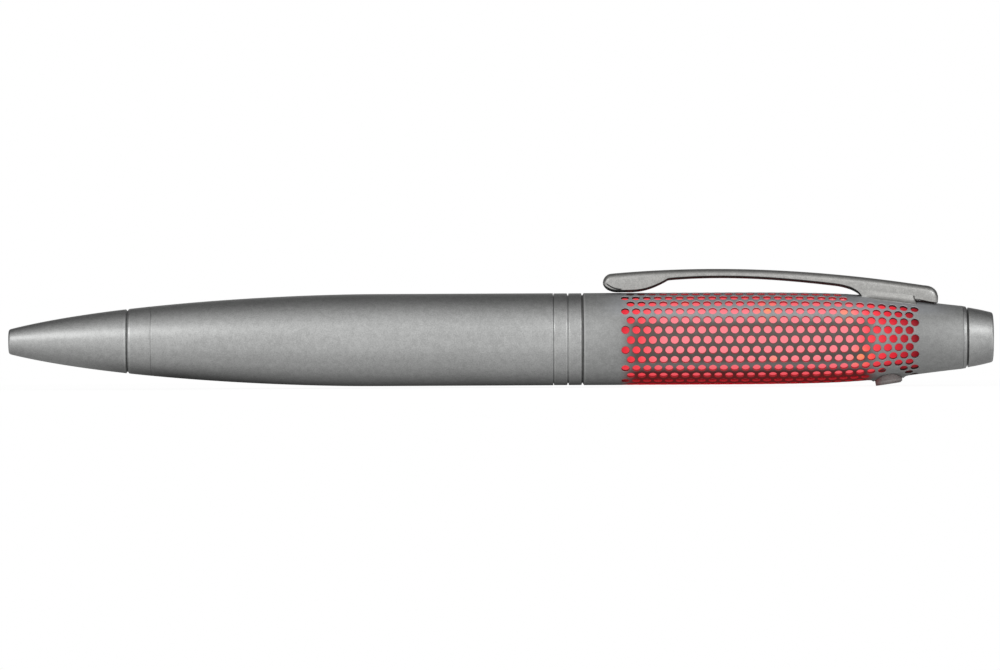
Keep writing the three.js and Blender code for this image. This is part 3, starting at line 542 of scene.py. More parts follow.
def circuit_board(name):
    """Green lacquered board with copper tracks, plated pads and pale print"""
    look = Look(name)
    weave = look.noise(0.3, 1, (1, 3, 1))
    track = abs(look.maths("PINGPONG", look.across + look.noise(6, 0) * 1.2, 0.9) - 0.45)
    track = track.above(0.1, 0.16, 1, 0)
    pad = look.cells(2.6).above(0.16, 0.2, 1, 0)
    edge = abs(look.across).above(3.55, 3.62)
    base = look.mix(weave, (0.015, 0.12, 0.06), (0.03, 0.2, 0.1))
    base = look.mix(track * 0.7, base, (0.05, 0.3, 0.13))
    base = look.mix(pad, base, (0.75, 0.68, 0.5))
    base = look.mix(edge, base, (0.45, 0.42, 0.25))
    rough = 0.3 + pad * 0.12 + weave * 0.1
    normal = look.bump(track * 0.6 + pad * 0.4, 0.03, 0.6)
    return look.finish(base, rough, normal, metallic=pad * 0.9, Coat_Weight=0.4)


def lamp_package(name, centre, finish):
    """White lamp package with a lit yellow window in its face"""
    look = Look(name)
    window = abs(look.station - centre).above(1.0, 1.1, 1, 0) * abs(look.across).above(0.8, 0.9, 1, 0)
    window = window * abs(look.height).above(2.2, 2.3)
    grain = look.noise(0.15, 2)
    base = look.mix(grain, (0.75, 0.74, 0.7), (0.88, 0.87, 0.83))
    base = look.mix(window, base, (0.95, 0.7, 0.2))
    light = look.mix(window, (0, 0, 0), finish.lamp)
    normal = look.bump(grain - window * 0.6, 0.02, 0.4)
    return look.finish(base, grain * 0.15 + 0.35, normal, light=light, strength=2.0)


# Station, height, reach and strength of each bright patch that a lamp makes on the diffuser
HOT_SPOTS = (
    (107.9, 4.0, 0.9, 0.75),
    (107.9, 3.8, 2.6, 0.36),
    (118.9, 3.5, 2.0, 0.4),
    (121.1, -2.7, 0.9, 0.7),
    (121.0, -2.8, 2.4, 0.36),
    (96.1, 5.2, 1.5, 0.3),
    (108.7, -2.9, 1.3, 0.3),
)


def lit_diffuser(name, finish):
    """Milky tube that glows pink, redder towards its ends, top and bottom, and orange next to the lamps"""
    look = Look(name)
    pink = tuple(finish.glow)
    red = tuple(finish.glow_red)
    deep = tuple(finish.glow_end)
    colours = (deep, red, pink, pink, red, deep, tinted(deep, 0.22))
    stations = (87.2, 89.5, 93.2, 119.8, 122.2, 125.4, 129.2)
    length = DIFFUSER_END - DIFFUSER_START
    stops = [((station - DIFFUSER_START) / length, colour) for station, colour in zip(stations, colours)]
    flow = look.noise(2.4, 3, (0.6, 1, 1))
    place = (look.station - DIFFUSER_START) / length + (flow - 0.5) * 0.02
    glow = look.add("ShaderNodeValToRGB", {"stops": stops}, {"Fac": place}).outputs["Color"]
    away = abs(look.height - 0.4).above(2.9, 5.3)
    glow = look.mix(away * 0.75, glow, tinted(red, 0.85))
    under = look.height.above(-5.6, -5.0, 1, 0)
    glow = look.mix(under * 0.65, glow, tinted(deep, 0.3))
    shaded = look.station.above(121.5, 126) * look.height.above(-4.3, -3.1, 1, 0)
    glow = look.mix(shaded * 0.85, glow, tinted(deep, 0.15))
    spots = []
    for station, height, reach, strength in HOT_SPOTS:
        depth = math.sqrt(DIFFUSER_RADIUS**2 - height**2)
        along = look.station - station
        side = abs(look.across) - depth
        rise = look.height - height
        distance = (along * along + side * side + rise * rise).root()
        spots.append(distance.above(0, reach, strength, 0))
    light = look.mix(look.highest(spots), glow, finish.lamp)
    base = look.mix(flow, (0.12, 0.02, 0.03), (0.2, 0.04, 0.05))
    normal = look.bump(flow, 0.03, 0.3)
    strength = finish.glow_strength
    return look.finish(base, flow * 0.2 + 0.5, normal, light=light, strength=strength, Specular_IOR_Level=0.2)


def smoke_plastic(name):
    """Smoke grey see-through plastic, with a painted light line along its side, and a painted red glow and
    darker red tint on the side that faces the lit sleeve
    """
    look = Look(name)
    haze = look.noise(0.5, 3)
    low = look.height.above(-6.3, -5.9, 0.7, 1)
    # Painted red glow: the side towards the lit sleeve is tinted dark red and given a faint red emission
    painted_glow_side = look.station.above(BUTTON_STATION - 2.1, BUTTON_STATION - 0.8, 1, 0)
    base = look.mix(haze, (0.20, 0.18, 0.175), (0.34, 0.31, 0.30))
    # Painted highlight: a lighter line along the button's side, parallel to its slanted face
    painted_highlight_line = abs(look.height + 6.15 - (look.station - BUTTON_STATION) * 0.15).above(0.08, 0.22, 1, 0)
    base = look.mix(painted_highlight_line * 0.6, base, (0.46, 0.44, 0.43))
    base = look.mix(painted_glow_side * 0.6, base, (0.16, 0.05, 0.05))
    light = look.mix(painted_glow_side * low * haze.above(0.2, 0.7, 0.6, 1), (0.01, 0.007, 0.007), (0.06, 0.006, 0.008))
    normal = look.bump(haze, 0.02, 0.25)
    return look.finish(base, haze * 0.15 + 0.22, normal, light=light, Transmission_Weight=0.2, IOR=1.49)


# Modelling


def smoothed(section, steps=4):
    """Section points (station, radius, rounding) with each rounded corner drawn as a short curve"""
    points = []
    for i, (x, y, rounding) in enumerate(section):
        corner = Vector((x, y))
        if not rounding:
            points.append(corner)
            continue
        before = Vector(section[i - 1][:2]) - corner
        after = Vector(section[(i + 1) % len(section)][:2]) - corner
        start = corner + before.normalized() * rounding
        end = corner + after.normalized() * rounding
        for step in range(steps + 1):
            t = step / steps
            points.append(start * (1 - t) ** 2 + corner * 2 * t * (1 - t) + end * t**2)
    return points


def turned(section, sides=SIDES, solid=False):
    """A section spun round the pen's axis. A solid one starts and ends on the axis."""
    bm = bmesh.new()
    corners = [bm.verts.new((point.x, 0, point.y)) for point in smoothed(section)]
    pairs = list(zip(corners, corners[1:]))
    if not solid:
        pairs.append((corners[-1], corners[0]))
    edges = [bm.edges.new(pair) for pair in pairs]
    bmesh.ops.spin(
        bm, geom=corners + edges, cent=(0, 0, 0), axis=(1, 0, 0), angle=math.tau, steps=sides, use_merge=True
    )
    return bm


def tidy(bm):
    """Merges doubles and turns every face outwards"""
    bmesh.ops.remove_doubles(bm, verts=bm.verts[:], dist=1e-4)
    bmesh.ops.recalc_face_normals(bm, faces=bm.faces[:])


def place_in_frame(bm, name, body, node, materials, smooth_angle=32):
    """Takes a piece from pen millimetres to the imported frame, and says what it rides on and stands for"""
    tidy(bm)
    bm.transform(Matrix.Translation((TIP_X, 0, AXIS_Z)) @ Matrix.Scale(MM, 4))
    mesh = bpy.data.meshes.new(name)
    bm.to_mesh(mesh)
    bm.free()
    mesh.shade_smooth()
    mesh.set_sharp_from_angle(angle=math.radians(smooth_angle))
    for material in materials if isinstance(materials, tuple) else (materials,):
        mesh.materials.append(material)
    piece = bpy.data.objects.new(name, mesh)
    bpy.context.scene.collection.objects.link(piece)
    if body:
        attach(piece, body)
    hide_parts(node)
    return piece


def turned_metal(section, node, body, metal, solid=False):
    """A metal piece turned from one section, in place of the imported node"""
    bm = turned(section, solid=solid)
    return place_in_frame(bm, f"{node}_turned", body, node, metal)


def teeth(start, end, radius, depth=0.12, pitch=0.5):
    """Section points of a fine thread, drawn as rings"""
    count = int((end - start) / pitch)
    points = []
    for i in range(count):
        points.append((start + i * pitch, radius - depth, 0))
        points.append((start + (i + 0.5) * pitch, radius, 0))
    return points + [(end, radius - depth, 0)]


class PenPiece:
    """What the pen's operators share"""

    bl_options = {"REGISTER", "UNDO"}

    @classmethod
    def poll(cls, context):
        return hasattr(context.scene, "pen_shape")


class PEN_OT_nose_cone(PenPiece, Operator):
    """Tapered front with the refill's opening, a bevelled shoulder and a threaded spigot"""

    bl_idname = "pen.nose_cone"
    bl_label = "Nose Cone"

    def execute(self, context):
        depth = context.scene.pen_shape.groove_depth / MM
        shoulder = NOSE_END - depth
        seam = NOSE_END - 0.06
        rear = NOSE_END + SPIGOT_LENGTH
        tip_bore = 1.3
        spring_bore = 2.125
        spring_seat = 8
        section = [
            (0, tip_bore, 0.08),
            (0, NOSE_RADIUS, 0.36),
            *outline_points(0.6, shoulder, 40)[:-1],
            (shoulder, barrel_radius(shoulder), 0.07),
            (seam, barrel_radius(shoulder) - depth, 0),
            *teeth(seam, rear, SPIGOT_BORE - RUNNING_GAP),
            (rear, spring_bore, 0.1),
            (spring_seat, spring_bore, 0.1),
            (spring_seat, tip_bore, 0),
        ]
        metal = blasted_metal("nose_metal", context.scene.pen_finish, worn=(0.25, shoulder - 0.1))
        turned_metal(section, "nose_cone", "nose", metal)
        return {"FINISHED"}


class PEN_OT_lower_half(PenPiece, Operator):
    """Front band, swelling lower barrel and the two rings at the pen's middle"""

    bl_idname = "pen.lower_half"
    bl_label = "Lower Barrel and Rings"

    def execute(self, context):
        depth = context.scene.pen_shape.groove_depth / MM
        finish = context.scene.pen_finish
        lip = NOSE_END + depth
        wall = 0.95
        bore = barrel_radius(FRONT_BAND_END) - wall
        seam = FRONT_BAND_END - 0.01
        spigot_end = FRONT_BAND_END + SPIGOT_LENGTH
        band = [
            (NOSE_END, SPIGOT_BORE, 0),
            (NOSE_END, barrel_radius(NOSE_END) - depth, 0),
            (lip, barrel_radius(lip), 0.07),
            *outline_points(lip + 0.2, FRONT_BAND_END - 0.25, 6),
            (seam, barrel_radius(FRONT_BAND_END), 0.03),
            (seam, bore - RUNNING_GAP, 0),
            *teeth(FRONT_BAND_END, spigot_end, bore - RUNNING_GAP),
            (spigot_end, SPIGOT_BORE, 0.1),
        ]
        metal = blasted_metal("front_band_metal", finish, worn=(lip + 0.12,))
        turned_metal(band, "front_band", "lower_half", metal)

        bore_end = 25.2
        seam = FRONT_BAND_END + 0.01
        rear = LOWER_BARREL_END - 0.01
        barrel = [
            (seam, bore, 0),
            (seam, barrel_radius(FRONT_BAND_END), 0.03),
            *outline_points(FRONT_BAND_END + 0.3, BELLY_START, 48),
            (LOWER_BARREL_END - 8, BELLY_RADIUS, 0),
            (rear, BELLY_RADIUS, 0.07),
            (rear, BELLY_RADIUS - wall, 0.08),
            *reversed(outline_points(bore_end, BELLY_START, 12, wall)),
            (bore_end, bore, 0),
        ]
        turned_metal(barrel, "lower_barrel", "lower_half", blasted_metal("barrel_metal", finish))

        self.ring("front", LOWER_BARREL_END, 0.06, finish)
        self.ring("rear", FRONT_RING_END, 0.1, finish, dark_rear=True)
        return {"FINISHED"}

    @staticmethod
    def ring(place, start, groove, finish, dark_rear=False):
        """One of the two rings, with a narrow groove before and behind it"""
        end = start + RING_LENGTH
        front = start + groove
        rear = end - groove
        bore = 4.95
        gap = 0.005
        crest = BELLY_RADIUS - 0.02
        land = BELLY_RADIUS - 0.3
        section = [
            (start + gap, bore, 0),
            (start + gap, land, 0),
            (front, land, 0),
            (front, crest, 0.13),
            (rear, crest, 0.15),
            (rear, land, 0),
            (end - gap, land, 0),
            (end - gap, bore, 0),
        ]
        worn = (front + 0.07, rear - 0.07)
        # The rear ring's rear groove gets painted shade
        metal = blasted_metal(f"ring_{place}_metal", finish, worn, (rear,) if dark_rear else ())
        turned_metal(section, f"centre_ring_{place}", "lower_half", metal)


class PEN_OT_sleeve(PenPiece, Operator):
    """Perforated upper barrel, with staggered rows of holes that leave room for the clip and the button"""

    bl_idname = "pen.sleeve"
    bl_label = "Perforated Sleeve"

    first_hole = 87.63
    turn = math.radians(-4.93)
    edge_points = 12
    hole_edge = 0.05
    merge_distance = 1e-3
    # In pitches, how far a cell reaches from its middle, and how far the rim of an opening from its edge
    cell_reach = 0.61
    rim_reach = 1.7
    # The cells beside the saddle have no holes, from this far before it and within this angle of the top
    blank_length = 2.2
    blank_angle = 36
    # Station, side (1 above, -1 below) and radius of the openings for the button and the clip's stud
    openings = ((BUTTON_STATION, -1, 2.6), (SADDLE_MIDDLE, 1, 0.9))

    def execute(self, context):
        shape = context.scene.pen_shape
        self.pitch = shape.hole_pitch / MM
        self.rows = shape.hole_rows
        self.row_width = math.tau * BELLY_RADIUS / self.rows
        self.columns = shape.hole_columns
        self.hole = shape.hole_diameter / MM / 2
        last = self.first_hole + self.columns * self.pitch
        front = REAR_RING_END + 0.16
        front_rim = front + 0.06
        rear = SLEEVE_END - 0.02
        rear_rim = rear - 0.04
        bm = self.flat_pattern()
        self.lengthen(bm, [84, front + 0.3, front_rim], last, first=True)
        self.lengthen(bm, [last + (rear_rim - last) * i / 6 for i in range(1, 7)], last, first=False)
        self.bend(bm)
        bmesh.ops.remove_doubles(bm, verts=bm.verts[:], dist=self.merge_distance)
        for station, side, radius in self.openings:
            self.round_off(bm, station, side, radius)
        self.ease_end(bm, front_rim, front, 0.07)
        self.ease_end(bm, front, REAR_RING_END + 0.01, 0.33)
        self.ease_end(bm, rear_rim, rear, 0.02)
        bmesh.ops.recalc_face_normals(bm, faces=bm.faces[:])
        self.thicken(bm, shape.sleeve_wall / MM)
        finish = context.scene.pen_finish
        metals = (sleeve_metal(finish), painted_shade_and_glow())
        place_in_frame(bm, "upper_barrel_sleeve", "upper_half", "upper_barrel", metals, 36)
        return {"FINISHED"}

    def flat_pattern(self):
        """The pattern laid flat: six-sided cells with a round hole or without one, or left open"""
        bm = bmesh.new()
        for column in range(self.columns):
            for stagger in (0, 1):
                station = self.first_hole + (column + stagger / 2) * self.pitch
                cells = {"holed": self.cell(station, True), "blank": self.cell(station, False)}
                for row in range(stagger, self.rows, 2):
                    kind = self.kind_of_cell(station, row)
                    if kind in cells:
                        place = Matrix.Translation((station, (row + 0.5) * self.row_width, 0))
                        cells[kind].transform(place)
                        bm.from_mesh(cells[kind])
                        cells[kind].transform(place.inverted())
                for mesh in cells.values():
                    bpy.data.meshes.remove(mesh)
        bmesh.ops.remove_doubles(bm, verts=bm.verts[:], dist=self.merge_distance)
        return bm

    def kind_of_cell(self, station, row):
        """Holed, blank beside the clip's saddle and the button, or open where those pass through"""
        angle = (row + 0.5) * math.tau / self.rows + self.turn
        place = Vector((station, barrel_radius(station) * math.sin(angle)))
        side = math.copysign(1, math.cos(angle))
        reach = self.pitch * self.cell_reach
        for middle, opening_side, radius in self.openings:
            if side == opening_side and (place - Vector((middle, 0))).length < radius + reach:
                return "open"
        from_top = math.degrees(math.acos(math.cos(angle)))
        beside_saddle = station > SADDLE_START - self.blank_length and from_top < self.blank_angle
        return "blank" if beside_saddle else "holed"

    def cell(self, station, holed):
        """A cell at the origin, from a circle whose points are moved out to the cell's edges"""
        bm = bmesh.new()
        outer = self.hole + self.hole_edge
        border = bmesh.ops.create_circle(bm, segments=self.edge_points, radius=outer)["verts"]
        if holed:
            around = self.hole / outer
            lip = self.grow(bm, bm.edges[:])
            bmesh.ops.scale(bm, vec=(around, around, 1), verts=lip)
            bmesh.ops.translate(bm, vec=(0, 0, -self.hole_edge), verts=lip)
            rim = [edge for edge in bm.edges if edge.is_boundary and edge.verts[0] in border]
            border = self.grow(bm, rim)
            inner = [vert for vert in bm.verts if vert not in border]
            bmesh.ops.scale(bm, vec=(1, BELLY_RADIUS / barrel_radius(station), 1), verts=inner)
        else:
            bmesh.ops.contextual_create(bm, geom=border)
        for vert in border:
            vert.co = self.border_point(vert.co)
        mesh = bpy.data.meshes.new("cell")
        bm.to_mesh(mesh)
        bm.free()
        return mesh

    @staticmethod
    def grow(bm, edges):
        """Extrudes edges and gives the new vertices"""
        made = bmesh.ops.extrude_edge_only(bm, edges=edges)["geom"]
        return [item for item in made if isinstance(item, bmesh.types.BMVert)]

    def border_point(self, point):
        """Where the cell's edge passes, in one of twelve directions from its centre"""
        quarter = {0: (0.5, 0), 1: (0.5, 1 / 3), 2: (0.25, 0.5), 3: (0, 2 / 3)}
        x, y = quarter[round(math.degrees(math.atan2(abs(point.y), abs(point.x))) / 30)]
        return Vector((math.copysign(x * self.pitch, point.x), math.copysign(y * self.row_width, point.y), 0))

    def lengthen(self, bm, stations, last, first):
        """Plain bands that go on from the pattern's first or last points"""
        start = 0 if first else last - self.pitch / 2 - 0.1
        end = self.first_hole + 0.1 if first else PEN_LENGTH

        def at_end(vert):
            """Whether a point lies on the pattern's end. The edges of holes lie lower."""
            return vert.co.z > -1e-6 and start < vert.co.x < end

        edges = self.rim_edges(bm, at_end)
        for station in stations:
            grown = set(self.grow(bm, edges))
            for vert in grown:
                vert.co.x = station
            edges = self.rim_edges(bm, lambda vert: vert in grown)
            edges = [edge for edge in edges if abs(edge.verts[0].co.y - edge.verts[1].co.y) > 1e-6]

    @staticmethod
    def rim_edges(bm, test):
        """Open edges whose two points pass a test"""
        return [edge for edge in bm.edges if edge.is_boundary and all(test(vert) for vert in edge.verts)]

    def bend(self, bm):
        """Wraps the flat pattern round the barrel's outline"""
        for vert in bm.verts:
            angle = vert.co.y / BELLY_RADIUS + self.turn
            radius = barrel_radius(vert.co.x) + vert.co.z
            vert.co = Vector((vert.co.x, -radius * math.sin(angle), radius * math.cos(angle)))

    def round_off(self, bm, station, side, radius):
        """Fills the jagged opening that the cells leave, in to a round edge"""
        reach = radius + self.pitch * self.rim_reach

        def on_rim(vert):
            on_surface = abs(Vector(vert.co.yz).length - barrel_radius(vert.co.x)) < 0.01
            return on_surface and vert.co.z * side > 0 and math.hypot(vert.co.x - station, vert.co.y) < reach

        edges = self.rim_edges(bm, on_rim)
        for share in (0.5, 1):
            grown = set(self.grow(bm, edges))
            for vert in grown:
                flat = Vector((vert.co.x - station, vert.co.y))
                flat *= 1 - share + share * radius / flat.length
                x = station + flat.x
                vert.co = Vector((x, flat.y, side * math.sqrt(barrel_radius(x) ** 2 - flat.y**2)))
            edges = self.rim_edges(bm, lambda vert: vert in grown)

    def ease_end(self, bm, station, end, drop):
        """Turns one end of the sleeve inwards, as a short chamfer"""
        for vert in self.grow(bm, self.rim_edges(bm, lambda vert: abs(vert.co.x - station) < 0.01)):
            scale = (barrel_radius(end) - drop) / Vector(vert.co.yz).length
            vert.co = Vector((end, vert.co.y * scale, vert.co.z * scale))

    def thicken(self, bm, wall):
        """Gives the sleeve its wall, with its inner face straight below the outer one"""
        outer = bm.faces[:]
        made = bmesh.ops.extrude_face_region(bm, geom=outer, use_keep_orig=True)["geom"]
        moved = {item for item in made if isinstance(item, bmesh.types.BMVert)}
        for vert in moved:
            scale = (barrel_radius(vert.co.x) - wall) / Vector(vert.co.yz).length
            vert.co = Vector((vert.co.x, vert.co.y * scale, vert.co.z * scale))
        # The holes' walls take the second material, near-black painted shade with a painted red glow
        for face in bm.faces:
            inner = sum(vert in moved for vert in face.verts)
            face.material_index = 1 if 0 < inner < len(face.verts) else 0


class PEN_OT_tail(PenPiece, Operator):
    """Thin end band and the battery cap with its threaded spigot"""

    bl_idname = "pen.tail"
    bl_label = "End Band and Tail Cap"

    def execute(self, context):
        finish = context.scene.pen_finish
        cells_end = station_of("cell_rear", 1)
        lip = barrel_radius(SLEEVE_END)
        seam = SLEEVE_END + 0.01
        bore = 3.5
        socket = 3.8
        band = [
            (cells_end + 0.3, bore, 0),
            (cells_end + 0.3, socket, 0.05),
            (seam, socket, 0),
            (seam, lip - 0.01, 0.02),
            (END_BAND_END - 0.17, barrel_radius(END_BAND_END) - 0.02, 0.04),
            (END_BAND_END, lip - 0.36, 0),
            (END_BAND_END, bore, 0.05),
        ]
        turned_metal(band, "end_band", "upper_half", blasted_metal("end_band_metal", finish))

        face = END_BAND_END + 0.13
        pocket = 2.7
        crest = bore - RUNNING_GAP
        root = 3.28
        cap = [
            (face + 2.2, 0, 0),
            (face + 2.2, pocket, 0),
            (cells_end + 0.6, pocket, 0.08),
            (cells_end + 0.6, root, 0),
            *teeth(cells_end + 0.7, face - 0.1, crest),
            (face, root, 0),
            (face, 4.27, 0.1),
            (PEN_LENGTH - 1.85, 3.94, 0.6),
            (PEN_LENGTH - 0.09, 3.51, 0.28),
            (PEN_LENGTH - 0.03, 1.9, 0),
            (PEN_LENGTH, 0, 0),
        ]
        metal = blasted_metal("cap_metal", finish, worn=(PEN_LENGTH - 0.28,))
        turned_metal(cap, "tail_cap", "tail_cap", metal, solid=True)
        return {"FINISHED"}


class PEN_OT_clip(PenPiece, Operator):
    """Sprung clip: a rounded heel, an arched arm and a tail past its saddle"""

    bl_idname = "pen.clip"
    bl_label = "Clip"

    ring_points = 32
    # Length of the clip's two rounded ends, and how much narrower it is there on each side
    end_length = 0.8
    end_narrowing = 0.6

    def execute(self, context):
        half_width = context.scene.pen_shape.clip_width / MM / 2
        top, bottom = self.outlines()
        bm = bmesh.new()
        loops = []
        for station in self.stations():
            low = height_on(bottom, station)
            high = height_on(top, station)
            loops.append(self.ring(bm, station, low, high, half_width))
        for before, after in zip(loops, loops[1:]):
            bmesh.ops.bridge_loops(bm, edges=before + after)
        for loop in (loops[0], loops[-1]):
            bmesh.ops.contextual_create(bm, geom=loop)
        tidy(bm)
        bm.normal_update()
        # Faces that look downwards take a much darker copy of the metal, as painted shade on the clip's
        # underside
        for face in bm.faces:
            face.material_index = 1 if face.normal.z < -0.12 else 0
        finish = context.scene.pen_finish
        metals = (clip_metal("clip_metal", finish), clip_metal("clip_underside_painted_shade", finish, shade=0.1))
        piece = place_in_frame(bm, "clip_sprung", None, "clip", metals, 40)
        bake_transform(piece)
        return {"FINISHED"}

    def stations(self):
        """Close together at the rounded ends and the saddle's edges, and wide apart along the arm"""
        ends = [0.004, 0.02, 0.07, 0.16, 0.3, 0.48, 0.7, 0.96, 1.3, 1.7, 2.1, 2.6]
        front = [CLIP_START + x for x in ends]
        rear = [CLIP_END - x for x in reversed(ends)]
        before_saddle = (3.5, 2.9, 2.3, 1.9, 1.6, 1.3, 1.0, 0.8, 0.6, 0.45, 0.36, 0.05, 0.0)
        edges = [SADDLE_START - x for x in before_saddle]
        edges += [SADDLE_END + x for x in (-0.1, 0, 0.05, 0.12, 0.25)]
        count = 70
        arm = [front[-1] + (rear[0] - front[-1]) * i / count for i in range(1, count)]
        arm = [x for x in arm if all(abs(x - edge) > 0.15 for edge in edges)]
        return sorted({*front, *rear, *edges, *arm})

    def outlines(self):
        """Heights of the clip's top and underside above the pen's axis, as points along it"""

        def above(station, lift):
            return station, barrel_radius(station) + lift

        def arc(station, lift, along, up, start, end):
            """A quarter of an ellipse round a centre, between two angles in degrees"""
            angles = [math.radians(start + (end - start) * i / 15) for i in range(16)]
            x, y = above(station, lift)
            return [(x + along * math.cos(a), y + up * math.sin(a)) for a in angles]

        def stretch(start, end, lifts):
            """A curve between two stations, its handles a third of the way in from each"""
            third = (end - start) / 3
            stations = (start, start + third, end - third, end)
            return curve(*(above(x, lift) for x, lift in zip(stations, lifts)))

        front = CLIP_START + 1.3
        rear = CLIP_END - 1.9
        top = arc(front, 1.43, 1.3, 1.32, 180, 90)
        top += stretch(front, rear, (2.75, 4.04, 3.33, 2.33))
        top += arc(rear, 0.8, 1.9, 1.53, 90, 0)

        pad = CLIP_START + 2.1
        heel = pad + 1.6
        arm = CLIP_START + 9.3
        arm_rear = SADDLE_START - 3.56
        toe = SADDLE_START - 0.36
        saddle_top = 0.665
        from_heel = ((heel, 0.07), (heel + 1.9, 0.06), (arm - 2.2, 0.47), (arm, 1.74))
        to_toe = ((arm_rear, 1.03), (toe - 1.9, 0.85), (toe - 0.9, 0.55), (toe, 0.04))
        last = (
            (SADDLE_START - 0.05, 0.03),
            (SADDLE_START, saddle_top),
            (SADDLE_END, saddle_top),
            (SADDLE_END + 0.05, 0.2),
            (SADDLE_END + 0.9, 0.17),
            (SADDLE_END + 2.1, 0.04),
            (CLIP_END - 0.12, 0.03),
            (CLIP_END - 0.03, 0.12),
            (CLIP_END, 0.8),
        )
        sole = arc(pad, 1.43, 2.1, 1.36, 180, 270)
        sole += curve(*(above(*place) for place in from_heel), steps=16)
        sole += stretch(arm, arm_rear, (1.74, 2.42, 1.85, 1.03))
        sole += curve(*(above(*place) for place in to_toe), steps=16)
        sole += [above(*place) for place in last]
        return top, sole

    def ring(self, bm, station, low, high, half_width):
        """The edges of one section across the clip: a rounded oblong, with sharp lower edges at its root"""
        turn = Matrix.Rotation(math.pi / self.ring_points, 4, "Z")
        made = bmesh.ops.create_circle(bm, segments=self.ring_points, radius=1, matrix=turn)["verts"]
        height = max(high - low, 0.01)
        radius = barrel_radius(station)
        root = clamped((station - SADDLE_START + 0.7) / 0.65)
        behind = clamped((station - SADDLE_END) / 0.2)
        from_end = min(station - CLIP_START, self.end_length, CLIP_END - station)
        narrowing = 1 - math.sqrt(1 - (1 - from_end / self.end_length) ** 2)
        width = half_width - self.end_narrowing * narrowing
        top = Vector((min(1.3, width * 0.95), min(0.9, height * 0.68)))
        sole = Vector((0.6, 0.4)) * (1 - root) + Vector((0.004, 0.004)) + Vector((0.1, 0.08)) * behind
        sole.y = min(sole.y, height * 0.32)
        at_toe = SADDLE_START - 3 < station < SADDLE_START - 0.01
        touching = clamped(1 - (low - radius) / 0.6) if at_toe else 0
        for vert in made:
            across, up = vert.co.x, vert.co.y
            reach = top if up > 0 else sole
            y = math.copysign(width - reach.x, across) + reach.x * across
            z = high - top.y * (1 - up) if up > 0 else low + sole.y * (1 + up)
            if up < 0:
                z -= touching * (radius - math.sqrt(radius**2 - y**2))
            vert.co = Vector((station, y, z))
        return list({edge for vert in made for edge in vert.link_edges})


class PEN_OT_clip_mount(PenPiece, Operator):
    """Saddle under the clip's root, with a soft fillet down to the sleeve, its tongue, a dark block that
    stands for the shade in the slit under the clip's tail, and its stud
    """

    bl_idname = "pen.clip_mount"
    bl_label = "Clip Saddle"

    height = 0.66
    # Width of the fillet beside the clip, its length behind it, and the share of the grid that it takes
    flare = 0.7
    rear_flare = 0.3
    fillet_share = 0.4

    def execute(self, context):
        finish = context.scene.pen_finish
        half_width = context.scene.pen_shape.clip_width / MM / 2
        bm = bmesh.new()
        half_length = (SADDLE_END - SADDLE_START) / 2
        flat_share = 1 - self.fillet_share
        bmesh.ops.create_grid(bm, x_segments=36, y_segments=30, size=1)
        for vert in bm.verts:
            x = SADDLE_MIDDLE + vert.co.x * (half_length + self.rear_flare)
            flare = self.flare * max(clamped((x - SADDLE_START) / 1.6), 0.02)
            beside = (abs(vert.co.y) - flat_share) / self.fillet_share
            y = half_width + flare * beside if beside > 0 else half_width * abs(vert.co.y) / flat_share
            y = math.copysign(y, vert.co.y)
            beyond = (x - SADDLE_MIDDLE - half_length) / self.rear_flare
            out = clamped(max(beside, beyond))
            surface = math.sqrt(barrel_radius(x) ** 2 - y**2)
            rise = barrel_radius(x) + self.height - surface
            ease = 1 - math.sqrt(1 - (1 - out) ** 2) if out else 1
            vert.co = Vector((x, y, surface + 0.015 + rise * ease))
        self.skirt(bm, 0.05)
        half_stud = 0.85
        stud_length = 0.9
        foot = barrel_radius(SADDLE_MIDDLE) - stud_length
        head = foot + stud_length
        profile = [(foot, 0, 0), (foot, half_stud, 0.1), (head, half_stud, 0), (head, 0, 0)]
        stud = turned(profile, 32, solid=True)
        upright = Matrix.Rotation(math.radians(-90), 4, "Y")
        stud.transform(Matrix.Translation((SADDLE_MIDDLE, 0, 0)) @ upright)
        self.join(bm, stud)
        # The tongue is a near-black block in the painted shade material, put in the slit under the clip's
        # tail where there is only shade
        tongue = bmesh.new()
        bmesh.ops.create_grid(tongue, x_segments=8, y_segments=6, size=1)
        start = SADDLE_END - 0.2
        end = CLIP_END - 0.5
        half_tongue = 0.7
        for vert in tongue.verts:
            share = (vert.co.x + 1) / 2
            x = start + (end - start) * share
            rise = 0.18 * (1 - share) + 0.02 * share
            vert.co = Vector((x, vert.co.y * half_tongue, barrel_radius(x) + rise))
        self.skirt(tongue, 0.1)
        for face in tongue.faces:
            face.material_index = 1
        self.join(bm, tongue)
        metals = (clip_metal("saddle_metal", finish), painted_shade_and_glow())
        place_in_frame(bm, "clip_saddle", "upper_half", "clip_mount", metals, 60)
        return {"FINISHED"}

    @staticmethod
    def skirt(bm, depth):
        """Closes a sheet below, just under the sleeve's surface"""
        edges = [edge for edge in bm.edges if edge.is_boundary]
        made = bmesh.ops.extrude_edge_only(bm, edges=edges)["geom"]
        for vert in (item for item in made if isinstance(item, bmesh.types.BMVert)):
            vert.co.z = math.sqrt(barrel_radius(vert.co.x) ** 2 - vert.co.y**2) - depth
        bmesh.ops.contextual_create(bm, geom=[edge for edge in bm.edges if edge.is_boundary])

    @staticmethod
    def join(bm, other):
        """Adds another closed shape to the piece"""
        tidy(other)
        mesh = bpy.data.meshes.new("joined")
        other.to_mesh(mesh)
        other.free()
        bm.from_mesh(mesh)
        bpy.data.meshes.remove(mesh)


